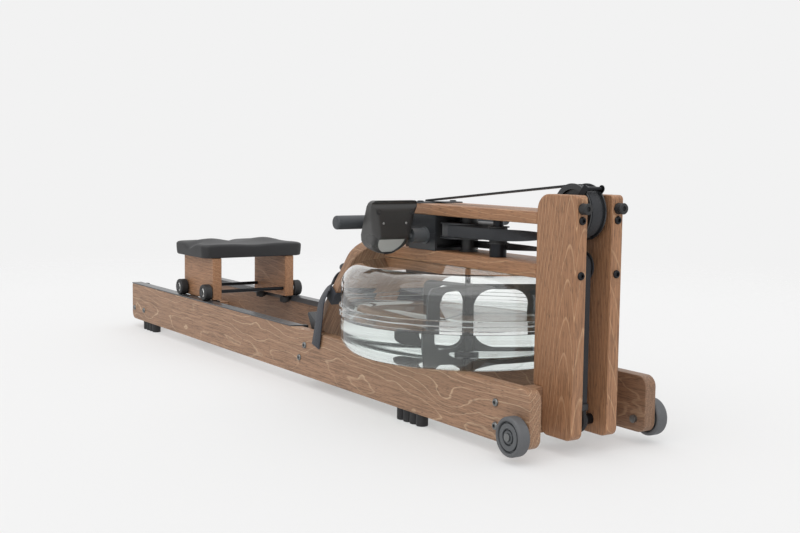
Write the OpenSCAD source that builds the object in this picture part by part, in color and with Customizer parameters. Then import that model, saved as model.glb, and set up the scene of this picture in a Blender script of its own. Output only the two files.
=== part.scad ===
// Water rowing machine: two wooden rails carry a sliding seat, a footboard and a clear
// water tank; two uprights and two decks hold the strap drive that turns the paddle.
// Lengths are in millimetres: X from the rower's end, Y to the rower's left, Z up.
// place() moves the whole machine so that its middle lies at X = 0.

/* [Rails] */
// Length of each rail
rail_length = 2075; // [2000:5:2200]
// Height of a rail
rail_height = 115; // [100:1:125]
// Thickness of a rail
rail_thickness = 27.8; // [24:0.1:32]
// Clear width between the rails
rail_gap = 267; // [255:1:275]
// Rounding of the rail corners
rail_corner = 22; // [10:1:26]
// Height of the rubber feet under the rails
foot_height = 26; // [20:1:30]
// Width of one lobe of a rubber foot
foot_lobe = 26; // [22:1:27]
// Pitch of the four lobes of a foot
foot_pitch = 25; // [18:1:25.5]
// First lobe of the rear feet from the rear end
rear_foot_at = 103; // [80:1:200]
// Rails' front ends back to the first lobe of the middle feet
mid_foot_setback = 450; // [375:1:515]

/* [Cross boards] */
// Depth of the rear cross board
rear_board_depth = 112; // [90:1:130]
// Thickness of the rear cross board
rear_board_thickness = 28; // [20:1:32]
// Height of the rear cross board's middle
rear_board_z = 62; // [50:1:80]
// Rear end to the rear cross board
rear_board_at = 8; // [4:1:60]
// Thickness of the front cross board
front_board_thickness = 28; // [22:1:34]
// Height of the front cross board
front_board_height = 92; // [80:1:100]
// Height of the front cross board's lower edge
front_board_z = 33; // [30:1:40]

/* [Uprights and decks] */
// Depth of an upright, front to back
upright_depth = 116.4; // [105:0.1:125]
// Thickness of an upright
upright_thickness = 27.5; // [24:0.1:32]
// Clear width between the uprights
upright_gap = 62.3; // [60:0.1:70]
// Height of the uprights' lower ends
upright_bottom = 32; // [28:1:40]
// Height of an upright
upright_height = 470; // [460:1:480]
// Large rounding at the rear top of an upright
upright_rear_round = 32; // [12:1:40]
// Small rounding of the other upright corners
upright_round = 16; // [6:1:20]
// Rounding at the front top of an upright
upright_front_round = 9; // [4:1:12]
// Width of both decks
deck_width = 118; // [112:1:124]
// From the footboard's foot to the upper deck's end
upper_deck_ahead = 319.4; // [316:0.1:330]
// Height of the upper deck's underside
upper_deck_z = 442; // [438:1:446]
// Thickness of the upper deck
upper_deck_thickness = 24; // [20:1:26]
// Height of the lower deck's underside
lower_deck_z = 336; // [332:1:340]
// Thickness of the lower deck
lower_deck_thickness = 28; // [24:1:30]

/* [Footboard] */
// Slope of the footboard from the floor
board_angle = 52; // [51:0.5:55]
// Thickness of the footboard
board_thickness = 26; // [20:1:27]
// Gap between the footboard's bolts and the tank's flange
board_clearance = 184; // [182.6:0.1:200]
// Height of the footboard's middle at its bolts
board_z = 86.5; // [80:0.1:95]
// Length of the footboard below its bolts
board_below = 50; // [40:1:56]
// How far the footboard rises over the lower deck
board_over_deck = 8; // [0:1:12]
// Rounding of the footboard's upper corners
board_corner = 58; // [30:1:90]
// Half width of the footboard at its shoulders, over the rails
board_shoulder = 150; // [140:1:158]
// Half width of the footboard at its top
board_top_half = 138; // [125:1:139]
// Width of a foot strap's webbing
strap_webbing = 38; // [30:1:42]
// Place of the foot straps up the board
foot_strap_at = 194; // [185:1:205]
// Width of a heel rest
heel_width = 80; // [70:1:84]
// Height of the heel cup off the board
heel_cup = 70; // [50:1:72]
// Place of the heel cup up the board
heel_at = 45; // [44:1:60]

/* [Seat] */
// Length of a seat block along the rails
block_length = 212; // [205:1:230]
// Thickness of a seat block
block_thickness = 28; // [24:1:30]
// Height of a seat block
block_height = 123; // [110:1:135]
// Rear end to the seat blocks, with the seat at rest
seat_at = 372; // [365:1:400]
// Length of the pad along the rails
pad_length = 222; // [214:1:240]
// Width of the pad across the rails
pad_width = 326; // [300:1:335]
// Thickness of the pad at its edges
pad_thickness = 41; // [34:1:48]
// Height that the pad's lobes rise over its edges
pad_crown = 11; // [6:1:14]
// Diameter of a seat wheel
seat_wheel_diameter = 47; // [42:1:50]
// Width of a seat wheel
seat_wheel_width = 24; // [14:1:24]
// Distance between the seat's axles
seat_wheelbase = 177; // [165:1:185]
// Diameter of a guide roller under the seat
guide_roller_diameter = 30; // [24:1:34]
// Height of a guide roller
guide_roller_height = 16; // [12:1:17]
// Footboard's bolts back to the seat tracks' front ends
track_setback = 46.6; // [26:0.1:52]
// Thickness of a seat track
track_thickness = 3; // [2:0.5:4]
// Depth of the track's inner lip
track_lip = 15; // [14:1:17]

/* [Tank] */
// Gap between the uprights' rear faces and the tank's flange
tank_clearance = 19.2; // [16:0.1:21]
// Outer radius of the tank
tank_radius = 280; // [272:0.5:281]
// How far the tank's flange stands out from its wall
flange_width = 3.9; // [2.5:0.1:5]
// Height of both flanges together
flange_height = 21; // [14:1:24]
// Height of the flange's joint over the rails
flange_joint = 95.5; // [85:0.5:105]
// Rounding of the tank's upper shoulder
shoulder_top = 50; // [40:1:56]
// Rounding of the tank's lower shoulder
shoulder_bottom = 44; // [30:1:50]
// Wall of the tank
tank_wall = 3; // [2.5:0.5:4]
// Depth of the water
water_depth = 75; // [60:1:85]

/* [Paddle] */
// Radius of the paddle
paddle_radius = 185; // [160:1:200]
// Height of the paddle's blades
paddle_height = 140; // [120:1:150]
// Thickness of a blade
blade_thickness = 4; // [3:0.5:6]
// Turn of the paddle at rest
paddle_turn = 57; // [0:1:90]
// Diameter of the paddle's shaft
shaft_diameter = 12; // [10:1:14]

/* [Strap drive] */
// Radius of the main drum's flanges
drum_radius = 62; // [56:1:64]
// Height of the main drum
drum_height = 34; // [30:1:36]
// Radius of the strap wound on the drum
winding_radius = 58; // [50:1:59]
// Width of the drive strap
drive_strap_width = 24; // [18:1:25]
// Thickness of the drive strap's fixed layer
strap_thickness = 1.2; // [1:0.1:1.6]
// Thickness of a moving layer of the strap
layer_thickness = 0.9; // [0.7:0.1:1.1]
// Radius of the recoil drum
recoil_radius = 17; // [14:1:20]
// Width of the recoil strap
recoil_strap_width = 16; // [10:1:16]
// Radius of the top pulley's flanges
top_pulley_radius = 55; // [52:1:57]
// Radius of the top pulley's seat for the strap
top_pulley_seat = 50; // [46:1:50]
// Width of the top pulley
top_pulley_width = 40; // [34:1:42]
// Height of the top pulley's axle
top_pulley_z = 468; // [465:1:470]
// Uprights' front faces to the top pulley's axle
top_pulley_setback = 59.5; // [57:0.5:62]
// Radius of the lower pulley
lower_pulley_radius = 26; // [22:1:28]
// Width of the lower pulley
lower_pulley_width = 28; // [26:1:30]
// Height of the lower pulley's axle
lower_pulley_z = 362; // [361:1:368]
// Radius of the cord roller between the uprights' feet
cord_roller_radius = 18; // [15:1:19]
// Height of the cord roller's axle
cord_roller_z = 60; // [58:1:64]
// Diameter of the elastic cord
cord_diameter = 9; // [7:0.5:10]
// Radius of the strap's guide roller between the decks
guide_radius = 19; // [16:1:20]
// Tank's axis to the guide roller's axle, along the rails
guide_ahead = 142; // [130:1:150]
// Guide roller's axle to the rower's right
guide_aside = 28; // [24:1:30]

/* [Handle] */
// Length of the handle
handle_length = 480; // [440:1:500]
// Diameter of the handle's grips
handle_diameter = 31; // [28:0.5:34]
// Upper deck's rear end to the handle's axis
handle_behind_deck = 23; // [21:0.5:26]
// Height of the handle's axis
handle_z = 423; // [420:1:427]
// Height of the nose plate that the strap runs over
nose_height = 3; // [2:0.5:4]

/* [Monitor] */
// Width of the monitor near its top
monitor_width = 118; // [108:1:122]
// Height of the monitor over its hinge
monitor_above = 79; // [70:1:84]
// Depth of the monitor under its hinge
monitor_below = 40; // [36:1:44]
// Length of the arm from the bracket to the monitor
arm_length = 38; // [34:1:48]
// Diameter of the arm
arm_diameter = 32; // [26:1:34]
// Deck bracket's front face to the tank's axis
bracket_clearance = 44.5; // [42:0.5:50]
// Bracket's front face back to the arm
arm_setback = 40; // [34:1:44]
// Height of the arm's axis
arm_z = 396; // [392:1:400]
// Diameter of a monitor button
button_diameter = 11; // [8:0.5:12]

/* [Wheels and bumpers] */
// Diameter of a transport wheel
transport_diameter = 77; // [70:1:80]
// Width of a transport wheel
transport_width = 27; // [22:1:30]
// Rails' front ends to the transport axle
transport_setback = 30; // [28:1:34]
// Height of the transport axle
transport_z = 52; // [50:1:56]
// Diameter of a front bumper
bumper_diameter = 22; // [18:1:26]
// Length of a front bumper
bumper_length = 17.5; // [12:0.5:20]

/* [Fits] */
// Radial clearance of a wheel or roller on its pin
running_clearance = 0.06; // [0.04:0.01:0.1]
// Radial clearance of a bolt in its hole
bolt_clearance = 0.3; // [0.2:0.05:0.4]
// Gap between a moving part and its neighbour
moving_gap = 0.3; // [0.3:0.05:0.5]

/* [Hidden] */
$fn = 64;
// Extra length of a cutting shape past the face that it cuts
over = 1;

overall_length = rail_length - upright_setback() + bumper_length;
rail_bottom = foot_height;
rail_top = rail_bottom + rail_height;
rail_inner = rail_gap / 2;
rail_outer = rail_inner + rail_thickness;
rail_middle = rail_inner + rail_thickness / 2;
rail_end_round = 5;

upright_front = rail_length - upright_setback();
upright_back = upright_front - upright_depth;
upright_inner = upright_gap / 2;
upright_outer = upright_inner + upright_thickness;
upright_top = upright_bottom + upright_height;
deck_top = upper_deck_z + upper_deck_thickness;
lower_deck_top = lower_deck_z + lower_deck_thickness;
front_board_front = upright_back + front_board_thickness;
front_board_top = front_board_z + front_board_height;

bolt_diameter = 8;
bolt_head = 16;
bolt_head_height = 4;
bolt_depth = 42;
rear_bolt_inset = 14;
front_bolt_inset = 23;
board_bolt_reach = 22;
deck_screw_y = 45;
deck_screw_reach = 50;
deck_post_inset = 24;
deck_post_depth = 20;
nose_overhang = 3.2;

flange_radius = tank_radius + flange_width;
tank_axis = upright_back - tank_clearance - flange_radius;
board_at = tank_axis - flange_radius - board_clearance;
deck_back = board_at + upper_deck_ahead;
upper_deck_length = upright_back - deck_back;
track_length = board_at - track_setback;
mid_foot_at = rail_length - mid_foot_setback;
tank_base = rail_top;
tank_top = lower_deck_z - 0.3;
flange_z = tank_base + flange_joint;
water_gap = 0.3;
water_top = tank_base + tank_wall + water_depth;
tank_top_hole = 16;
plug_radius = 14;
plug_inset = 66;
plug_at = tank_radius - plug_inset;

paddle_bottom = tank_base + 17;
paddle_top = paddle_bottom + paddle_height;
paddle_hub = 11;
paddle_arms = 3;
shaft_radius = shaft_diameter / 2;
shaft_bottom = tank_base + tank_wall + 2;
shaft_top = upper_deck_z - 3;
bearing_radius = 20;
bearing_height = 11;

// Gap between the upper deck and the drum
drum_gap = 14;
drum_z = upper_deck_z - drum_gap - drum_height;
// Height of the recoil drum over the lower deck's face
recoil_clearance = 2;
recoil_height = drum_z - lower_deck_top - recoil_clearance;
drum_flange = 3;
drum_core = 40;
strap_gap = 0.3;

top_pulley_x = upright_front - top_pulley_setback;
lower_pulley_x = top_pulley_x + 1;
cord_roller_x = top_pulley_x + 12;
pin_radius = 6;
// How far the pins reach into the uprights
pin_depth = 18;
pulley_flange = 3;

// Radius of the strap's middle layer round the top pulley
strap_radius = top_pulley_seat + strap_gap + strap_thickness / 2;
strap_back = deck_back - nose_overhang - 0.3;
// The strap runs from the nose plate to a tangent of the top pulley
strap_span = [top_pulley_x - strap_back,
    top_pulley_z - (deck_top + nose_height + 0.2 + strap_thickness / 2)];
strap_fall = atan2(strap_span[1], strap_span[0]) + asin(strap_radius / norm(strap_span));
strap_leave = [top_pulley_x - strap_radius * sin(strap_fall),
    top_pulley_z + strap_radius * cos(strap_fall)];
strap_end_z = strap_leave[1] - (strap_leave[0] - strap_back) * tan(strap_fall);
middle_offset = strap_thickness / 2 + moving_gap + layer_thickness / 2;
handle_offset = middle_offset + layer_thickness + moving_gap;

handle_x = deck_back - handle_behind_deck;
handle_radius = handle_diameter / 2;
handle_core_radius = 12;
strap_eye = 3;

guide_x = tank_axis + guide_ahead;

track_top = rail_top + track_thickness;
lip_face = rail_inner - track_thickness;
seat_axle_z = track_top + seat_wheel_diameter / 2 + moving_gap;
seat_axle_radius = 5;
axle_inset = 19;
rear_seat_axle = seat_at + axle_inset;
front_seat_axle = rear_seat_axle + seat_wheelbase;
block_bottom = track_top + 1;
block_top = block_bottom + block_height;
block_outer = rail_inner - 1.5;
seat_wheel_inner = block_outer + 3;
guide_wheel_radius = guide_roller_diameter / 2;
guide_wheel_y = lip_face - guide_wheel_radius - 0.5;
guide_wheel_z = block_bottom - 4 - guide_roller_height;
guide_wheel_inset = 25;
guide_pin_radius = 3;
stop_length = 16;
stop_inset = 12;
stop_reach = 19;

board_top_s = (lower_deck_top + board_over_deck - board_z) / sin(board_angle);
webbing = 2.5;
strap_inner_y = 38;
heel_plate = 5;
heel_reach = 62;
heel_y = (rail_inner - 3.5 + strap_inner_y + 4) / 2;

bracket_length = tank_axis - bracket_clearance - deck_back;
arm_x = deck_back + bracket_length - arm_setback;
monitor_edge = deck_width / 2 + arm_length;
monitor_draw = 13;
monitor_y = -(monitor_edge + (monitor_width - monitor_draw) / 2);
monitor_pin = 6;
face_low = [-47, 2];
face_high = [3, monitor_above];
face_tilt = atan2(face_high[0] - face_low[0], face_high[1] - face_low[1]);
face_length = norm(face_high - face_low);
bezel = 14;
screen_height = 44;
screen_width = 72;
button_travel = 1.5;
button_proud = 2;

function upright_setback() = 1;

// Points and faces of a flat band carried along points; ups holds the direction of
// its width at each point.
function unit(v) = v / norm(v);
function run(points, i) = unit(points[min(i + 1, len(points) - 1)] - points[max(i - 1, 0)]);
function band_ring(p, t, w, wide, thick) =
    let (u = unit(w - t * (w * t)), n = cross(t, u))
    [p + u * wide / 2 + n * thick / 2, p + u * wide / 2 - n * thick / 2,
     p - u * wide / 2 - n * thick / 2, p - u * wide / 2 + n * thick / 2];

module band(points, ups, wide, thick) {
    last = len(points) - 1;
    rings = [for (i = [0 : last]) band_ring(points[i], run(points, i), ups[i], wide, thick)];
    vertices = [for (ring = rings) each ring];
    // Both broad faces share a diagonal, so that a twist can't cross them
    sides = [for (i = [0 : last - 1]) for (k = [0 : 3])
        let (a = 4 * i + k, b = 4 * i + (k + 1) % 4, c = b + 4, d = a + 4)
        each (k == 3 ? [[a, b, d], [b, c, d]] : [[a, b, c], [a, c, d]])];
    caps = [[0, 2, 1], [0, 3, 2],
        [4 * last, 4 * last + 1, 4 * last + 2], [4 * last, 4 * last + 2, 4 * last + 3]];
    polyhedron(points = vertices, faces = concat(sides, caps));
}

// Moves a piece from the rails' rear end to the machine's own origin.
module place() {
    translate([-overall_length / 2, 0, 0]) children();
}

// Puts a piece on the footboard: X up the slope, Z off its upper face.
module on_board() {
    translate([board_at, 0, board_z]) rotate([0, -board_angle, 0]) children();
}

// Puts a piece at the monitor's hinge.
module on_hinge() {
    translate([arm_x, monitor_y, arm_z]) children();
}

// Puts a piece on the monitor's display face: X up the face, Z out of it.
module on_display() {
    middle = (face_low + face_high) / 2;
    on_hinge() translate([middle[0], 0, middle[1]])
        rotate([0, face_tilt - 90, 0]) children();
}

module mirrored() {
    children();
    mirror([0, 1, 0]) children();
}

// What a rounding takes off a square corner at (x, y); ix and iy point into the board.
module corner_waste(x, y, ix, iy, r) {
    difference() {
        translate([x - (ix > 0 ? over : r), y - (iy > 0 ? over : r)]) square(r + over);
        translate([x + ix * r, y + iy * r]) circle(r);
    }
}

// A rectangle with its own rounding at each corner.
module rounded_board(length, height, rear_low, front_low, front_high, rear_high) {
    difference() {
        square([length, height]);
        corner_waste(0, 0, 1, 1, rear_low);
        corner_waste(length, 0, -1, 1, front_low);
        corner_waste(length, height, -1, -1, front_high);
        corner_waste(0, height, 1, -1, rear_high);
    }
}

// Stands a side view (X, Z) up between two values of Y.
module side_slab(y_from, y_to) {
    translate([0, y_to, 0]) rotate([90, 0, 0]) linear_extrude(y_to - y_from) children();
}

// A cylinder along Y between two values of Y.
module cross_rod(x, z, r, y_from, y_to) {
    translate([x, y_to, z]) rotate([90, 0, 0]) cylinder(r = r, h = y_to - y_from);
}

// Places of the boards' bolts, as [x, z].
function board_bolt(s) = [board_at + s * cos(board_angle), board_z + s * sin(board_angle)];
rail_bolt_places = [
    [rear_board_at + rear_bolt_inset, rear_board_z],
    [rear_board_at + rear_board_depth - rear_bolt_inset, rear_board_z],
    board_bolt(-board_bolt_reach), board_bolt(board_bolt_reach),
    [upright_back + front_board_thickness / 2, front_board_z + front_bolt_inset],
    [upright_back + front_board_thickness / 2, front_board_top - front_bolt_inset]];
transport_x = rail_length - transport_setback;

module rail_bolt_holes(from_y) {
    for (p = rail_bolt_places)
        cross_rod(p[0], p[1], bolt_diameter / 2 + bolt_clearance, from_y, rail_outer + over);
}

module rail() {
    difference() {
        translate([0, rail_inner, rail_bottom]) rotate([90, 0, 0]) mirror([0, 0, 1])
            linear_extrude(rail_thickness)
                rounded_board(rail_length, rail_height,
                    rail_corner, rail_corner, rail_corner, rail_end_round);
        rail_bolt_holes(rail_inner - over);
        cross_rod(transport_x, transport_z, pin_radius + bolt_clearance,
            rail_inner - over, rail_outer + over);
    }
}

module right_rail() {
    place() color("sienna") mirror([0, 1, 0]) rail();
}

module left_rail() {
    place() color("sienna") rail();
}

module cross_boards() {
    place() color("peru") difference() {
        union() {
            translate([rear_board_at, -rail_inner, rear_board_z - rear_board_thickness / 2])
                cube([rear_board_depth, rail_gap, rear_board_thickness]);
            translate([upright_back, -rail_inner, front_board_z])
                cube([front_board_thickness, rail_gap, front_board_height]);
        }
        mirrored() rail_bolt_holes(rail_inner - bolt_depth);
        // The elastic cord passes through a slot in the front board
        translate([upright_back - over, -cord_diameter, front_board_z - over])
            cube([front_board_thickness + 2 * over, 2 * cord_diameter,
                cord_roller_z - cord_roller_radius + cord_diameter - front_board_z]);
    }
}

deck_screw_rows = [upper_deck_z + upper_deck_thickness / 2,
    lower_deck_z + lower_deck_thickness / 2];

module deck_screw_holes(x_from) {
    for (z = deck_screw_rows)
        translate([x_from, deck_screw_y, z]) rotate([0, 90, 0])
            cylinder(r = bolt_diameter / 2 + bolt_clearance, h = upright_front + over - x_from);
}

module upright() {
    difference() {
        translate([upright_back, upright_inner, upright_bottom]) rotate([90, 0, 0])
            mirror([0, 0, 1]) linear_extrude(upright_thickness)
                rounded_board(upright_depth, upright_height,
                    upright_round, upright_round, upright_front_round, upright_rear_round);
        // Notch for the front cross board
        translate([upright_back - over, upright_inner - over, upright_bottom - over])
            cube([front_board_thickness + over, upright_thickness + 2 * over,
                front_board_top - upright_bottom + over]);
        deck_screw_holes(upright_back - over);
        for (p = pin_places)
            cross_rod(p[0], p[1], pin_radius + bolt_clearance,
                upright_inner - over, upright_inner + pin_depth + bolt_clearance);
    }
}

pin_places = [[top_pulley_x, top_pulley_z], [lower_pulley_x, lower_pulley_z],
    [cord_roller_x, cord_roller_z]];

module right_upright() {
    place() color("chocolate") mirror([0, 1, 0]) upright();
}

module left_upright() {
    place() color("chocolate") upright();
}

module upper_deck() {
    place() color("tan") difference() {
        translate([deck_back, -deck_width / 2, upper_deck_z])
            cube([upper_deck_length, deck_width, upper_deck_thickness]);
        mirrored() deck_screw_holes(upright_back - deck_screw_reach);
        mirrored() translate([deck_back + deck_post_inset, deck_screw_y, upper_deck_z - over])
            cylinder(r = bolt_diameter / 2 + bolt_clearance,
                h = upper_deck_thickness + 2 * over);
        translate([guide_x, -guide_aside, upper_deck_z - over])
            cylinder(r = pin_radius + bolt_clearance, h = 8 + over);
    }
}

// X of the footboard's lower face at height z
function under_board(z) = board_at + board_thickness / 2 * sin(board_angle)
    + (z - board_z + board_thickness / 2 * cos(board_angle)) / tan(board_angle);

module lower_deck() {
    place() color("tan") difference() {
        side_slab(-deck_width / 2, deck_width / 2)
            polygon([[under_board(lower_deck_z), lower_deck_z], [upright_back, lower_deck_z],
                [upright_back, lower_deck_top], [under_board(lower_deck_top), lower_deck_top]]);
        mirrored() deck_screw_holes(upright_back - deck_screw_reach);
        translate([tank_axis, 0, lower_deck_z - over])
            cylinder(r = bearing_radius, h = lower_deck_thickness + 2 * over);
        translate([guide_x, -guide_aside, lower_deck_top - 8])
            cylinder(r = pin_radius + bolt_clearance, h = 8 + over);
    }
}

// Where the board's shoulders begin, just over the rails
shoulder_s = (rail_top + 1.3 - board_z + board_thickness / 2 * cos(board_angle))
    / sin(board_angle);

// Half width of the footboard, over its shoulders
function board_half(s) = board_shoulder
    + (board_top_half - board_shoulder) * (s - shoulder_s) / (board_top_s - shoulder_s);

module footboard() {
    place() color("peru") difference() {
        on_board() translate([0, 0, -board_thickness / 2]) linear_extrude(board_thickness)
            difference() {
                union() {
                    translate([-board_below, -rail_inner]) square([board_below + shoulder_s + 1,
                        rail_gap]);
                    polygon([[shoulder_s, -board_shoulder], [board_top_s, -board_top_half],
                        [board_top_s, board_top_half], [shoulder_s, board_shoulder]]);
                }
                corner_waste(board_top_s, -board_top_half, -1, 1, board_corner);
                corner_waste(board_top_s, board_top_half, -1, -1, board_corner);
                mirrored() translate([foot_strap_at - strap_webbing / 2 - over,
                    strap_inner_y - webbing - over])
                    square([strap_webbing + 2 * over, webbing + 2 * over]);
            }
        mirrored() rail_bolt_holes(rail_inner - bolt_depth);
    }
}

module seat_tracks() {
    place() color("dimgray") mirrored() difference() {
        union() {
            translate([0, lip_face, rail_top])
                cube([track_length, rail_outer - lip_face, track_thickness]);
            translate([0, lip_face, track_top - track_lip])
                cube([track_length, track_thickness, track_lip]);
        }
        // Slanted front end
        translate([track_length, lip_face - over, rail_top - track_lip - over])
            rotate([0, 0, 25]) translate([0, -rail_thickness, 0])
                cube([rail_thickness * 2, rail_thickness * 3, track_lip * 3]);
    }
}

module track_stops() {
    place() color("black") mirrored()
        for (x = [stop_inset, stop_front_x])
            translate([x, lip_face - stop_reach, guide_wheel_z])
                cube([stop_length, stop_reach, guide_roller_height]);
}

stop_front_x = track_length - stop_inset - stop_length - 1;

module rubber_feet() {
    place() color("black") mirrored()
        for (at = [rear_foot_at, mid_foot_at])
            for (i = [0 : 3])
                translate([at + i * foot_pitch, rail_middle, 0])
                    cylinder(d = foot_lobe, h = foot_height);
}

// A bolt along Y, with a socket in its head; its head rests on the face at y.
module side_bolt(x, z, y, r, depth, head, head_height) {
    difference() {
        union() {
            cross_rod(x, z, r, y - depth, y);
            cross_rod(x, z, head / 2, y, y + head_height);
        }
        cross_rod(x, z, r * 0.6, y + head_height / 2, y + head_height + over);
    }
}

module rail_bolts() {
    place() color("dimgray") mirrored() {
        for (p = rail_bolt_places)
            side_bolt(p[0], p[1], rail_outer, bolt_diameter / 2,
                rail_thickness + bolt_depth - over, bolt_head, bolt_head_height);
        // Axle bolt of the transport wheel, with its nut inside the rail
        axle_out = rail_outer + 2 + transport_width + moving_gap;
        for (part = [[pin_radius, rail_inner - 6, axle_out],
            [bolt_head / 2, rail_inner - 6, rail_inner],
            [bolt_head / 2, axle_out, axle_out + 3],
            [bolt_head / 2, rail_outer, rail_outer + 2 - moving_gap]])
            cross_rod(transport_x, transport_z, part[0], part[1], part[2]);
    }
}

module deck_screws() {
    place() color("dimgray") mirrored() {
        for (z = deck_screw_rows)
            translate([upright_front, deck_screw_y, z]) rotate([0, 90, 0]) difference() {
                union() {
                    cylinder(d = bolt_head, h = bolt_head_height);
                    translate([0, 0, over - upright_depth - deck_screw_reach])
                        cylinder(d = bolt_diameter, h = upright_depth + deck_screw_reach - over);
                }
                translate([0, 0, bolt_head_height / 2]) cylinder(d = 5, h = bolt_head_height);
            }
        translate([deck_back + deck_post_inset, deck_screw_y, deck_top + nose_height]) {
            cylinder(d = bolt_head, h = 3);
            translate([0, 0, 2 - nose_height - upper_deck_thickness - deck_post_depth])
                cylinder(d = bolt_diameter,
                    h = nose_height + upper_deck_thickness + deck_post_depth - 2);
        }
    }
}

module front_bumpers() {
    place() color("black") mirrored()
        translate([upright_front, deck_screw_y, bumper_z]) rotate([0, 90, 0]) difference() {
            cylinder(d = bumper_diameter, h = bumper_length);
            translate([0, 0, bumper_length - 4]) cylinder(d = 8, h = 4 + over);
        }
}

bumper_rise = 22.5;
bumper_z = deck_screw_rows[0] + bumper_rise;

module deck_bracket() {
    wall = 6;
    solid_end = 36;
    groove_depth = 1.5;
    groove_width = 3;
    nose_length = 46;
    inner_height = upper_deck_z - lower_deck_top - 2 * wall;
    place() color("black") difference() {
        translate([deck_back, -deck_width / 2, lower_deck_top])
            cube([bracket_length, deck_width, upper_deck_z - lower_deck_top]);
        // Hollow from the drum's side
        translate([deck_back + solid_end, -deck_width / 2 + wall, lower_deck_top + wall])
            cube([bracket_length, deck_width - 2 * wall, inner_height]);
        mirrored() translate([deck_back + deck_post_inset, deck_screw_y,
            upper_deck_z - deck_post_depth])
            cylinder(r = bolt_diameter / 2 + bolt_clearance, h = deck_post_depth + over);
        // Grooves along the middle of both sides
        mirrored() translate([deck_back - over, deck_width / 2 - groove_depth,
            (lower_deck_top + upper_deck_z - groove_width) / 2])
            cube([bracket_length + 2 * over, groove_depth + over, groove_width]);
    }
    // Nose plate, rounded where the strap turns down
    place() color("black") difference() {
        translate([deck_back - nose_overhang, 0, deck_top])
            side_slab(-deck_width / 2, deck_width / 2)
                rounded_board(nose_length, nose_height, 0.5, 0.5, nose_height - 0.6,
                    nose_height - 0.4);
        mirrored() translate([deck_back + deck_post_inset, deck_screw_y, deck_top - over])
            cylinder(r = bolt_diameter / 2 + bolt_clearance, h = nose_height + 2 * over);
    }
}

// Path that the handle clears as it leaves its rest
handle_way_reach = 200;
module handle_way() {
    clear = handle_radius + moving_gap;
    translate([handle_x, handle_z]) rotate(strap_fall)
        polygon(concat([[-handle_way_reach, -clear]],
            [for (a = [-90 : 10 : 0]) clear * [cos(a), sin(a)]],
            [[clear, handle_way_reach], [-handle_way_reach, handle_way_reach]]));
}

module handle_rest() {
    cheek = 9;
    rest_length = 44;
    cheek_y = 30;
    place() color("black") {
        translate([deck_back - rest_length, -cheek_y - cheek, lower_deck_top])
            cube([rest_length, 2 * (cheek_y + cheek), 6]);
        mirrored() side_slab(cheek_y, cheek_y + cheek) difference() {
            translate([deck_back - rest_length, lower_deck_top + 3])
                square([rest_length - 1, handle_z + 10 - lower_deck_top - 3]);
            handle_way();
        }
    }
}

// Half section of a tank shell, from the wall to the axis: radius against height.
module tank_outline(inset) {
    low = tank_base + inset;
    high = tank_top - inset;
    difference() {
        translate([0, low]) square([tank_radius - inset, high - low]);
        corner_waste(tank_radius - inset, low, -1, 1, shoulder_bottom - inset);
        corner_waste(tank_radius - inset, high, -1, -1, shoulder_top - inset);
    }
}

module tank_section() {
    difference() {
        union() {
            tank_outline(0);
            translate([tank_radius - tank_wall, flange_z - flange_height / 2])
                square([flange_radius - tank_radius + tank_wall, flange_height]);
        }
        tank_outline(tank_wall);
    }
}

seal_thickness = 1.5;

module tank_lower_shell() {
    place() color("lightcyan", 0.5) translate([tank_axis, 0, 0])
        rotate_extrude($fn = 128) intersection() {
            tank_section();
            square([flange_radius + over, flange_z - seal_thickness / 2]);
        }
}

module tank_upper_shell() {
    place() color("lightcyan", 0.5) translate([tank_axis, 0, 0]) difference() {
        rotate_extrude($fn = 128) intersection() {
            tank_section();
            translate([0, flange_z + seal_thickness / 2])
                square([flange_radius + over, tank_top - flange_z]);
        }
        translate([0, 0, tank_top - tank_wall - over])
            cylinder(r = tank_top_hole, h = tank_wall + 2 * over);
        rotate([0, 0, plug_turn]) translate([plug_at, 0, tank_top - tank_wall - over])
            cylinder(r = plug_radius - 3, h = tank_wall + 2 * over);
    }
}

plug_turn = 130;

module tank_seals() {
    place() color("gray") translate([tank_axis, 0, 0]) {
        rotate_extrude($fn = 128)
            translate([tank_radius - tank_wall, flange_z - seal_thickness / 2])
                square([flange_radius - tank_radius + tank_wall - 0.5, seal_thickness]);
        // Filler plug in the tank's top
        rotate([0, 0, plug_turn]) translate([plug_at, 0, 0]) {
            translate([0, 0, tank_top]) cylinder(r = plug_radius, h = 5);
            translate([0, 0, tank_top - tank_wall - 4]) cylinder(r = plug_radius - 3 - 0.1,
                h = tank_wall + 4);
        }
    }
}

module tank_water() {
    place() color("powderblue", 0.6) translate([tank_axis, 0, 0]) difference() {
        rotate_extrude($fn = 128) intersection() {
            tank_outline(tank_wall + water_gap);
            square([tank_radius, water_top]);
        }
        // Room for the turning paddle and its lower bearing
        translate([0, 0, paddle_bottom - 3])
            cylinder(r = paddle_radius + 3, h = water_top);
        cylinder(r = bearing_radius + 1, h = water_top);
    }
}

module shaft_bearings() {
    bore = shaft_radius + running_clearance;
    place() color("dimgray") translate([tank_axis, 0, 0]) difference() {
        union() {
            translate([0, 0, tank_base + tank_wall])
                cylinder(r = bearing_radius, h = bearing_height);
            translate([0, 0, tank_top]) cylinder(r = bearing_radius,
                h = drum_z - recoil_height - moving_gap - tank_top);
            translate([0, 0, drum_z + drum_height + moving_gap]) cylinder(r = bearing_radius,
                h = upper_deck_z - drum_z - drum_height - moving_gap);
        }
        translate([0, 0, shaft_bottom]) cylinder(r = bore, h = shaft_top + over - shaft_bottom);
    }
}

module paddle_shaft() {
    place() color("dimgray") translate([tank_axis, 0, shaft_bottom])
        cylinder(r = shaft_radius, h = shaft_top - shaft_bottom);
}

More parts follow.
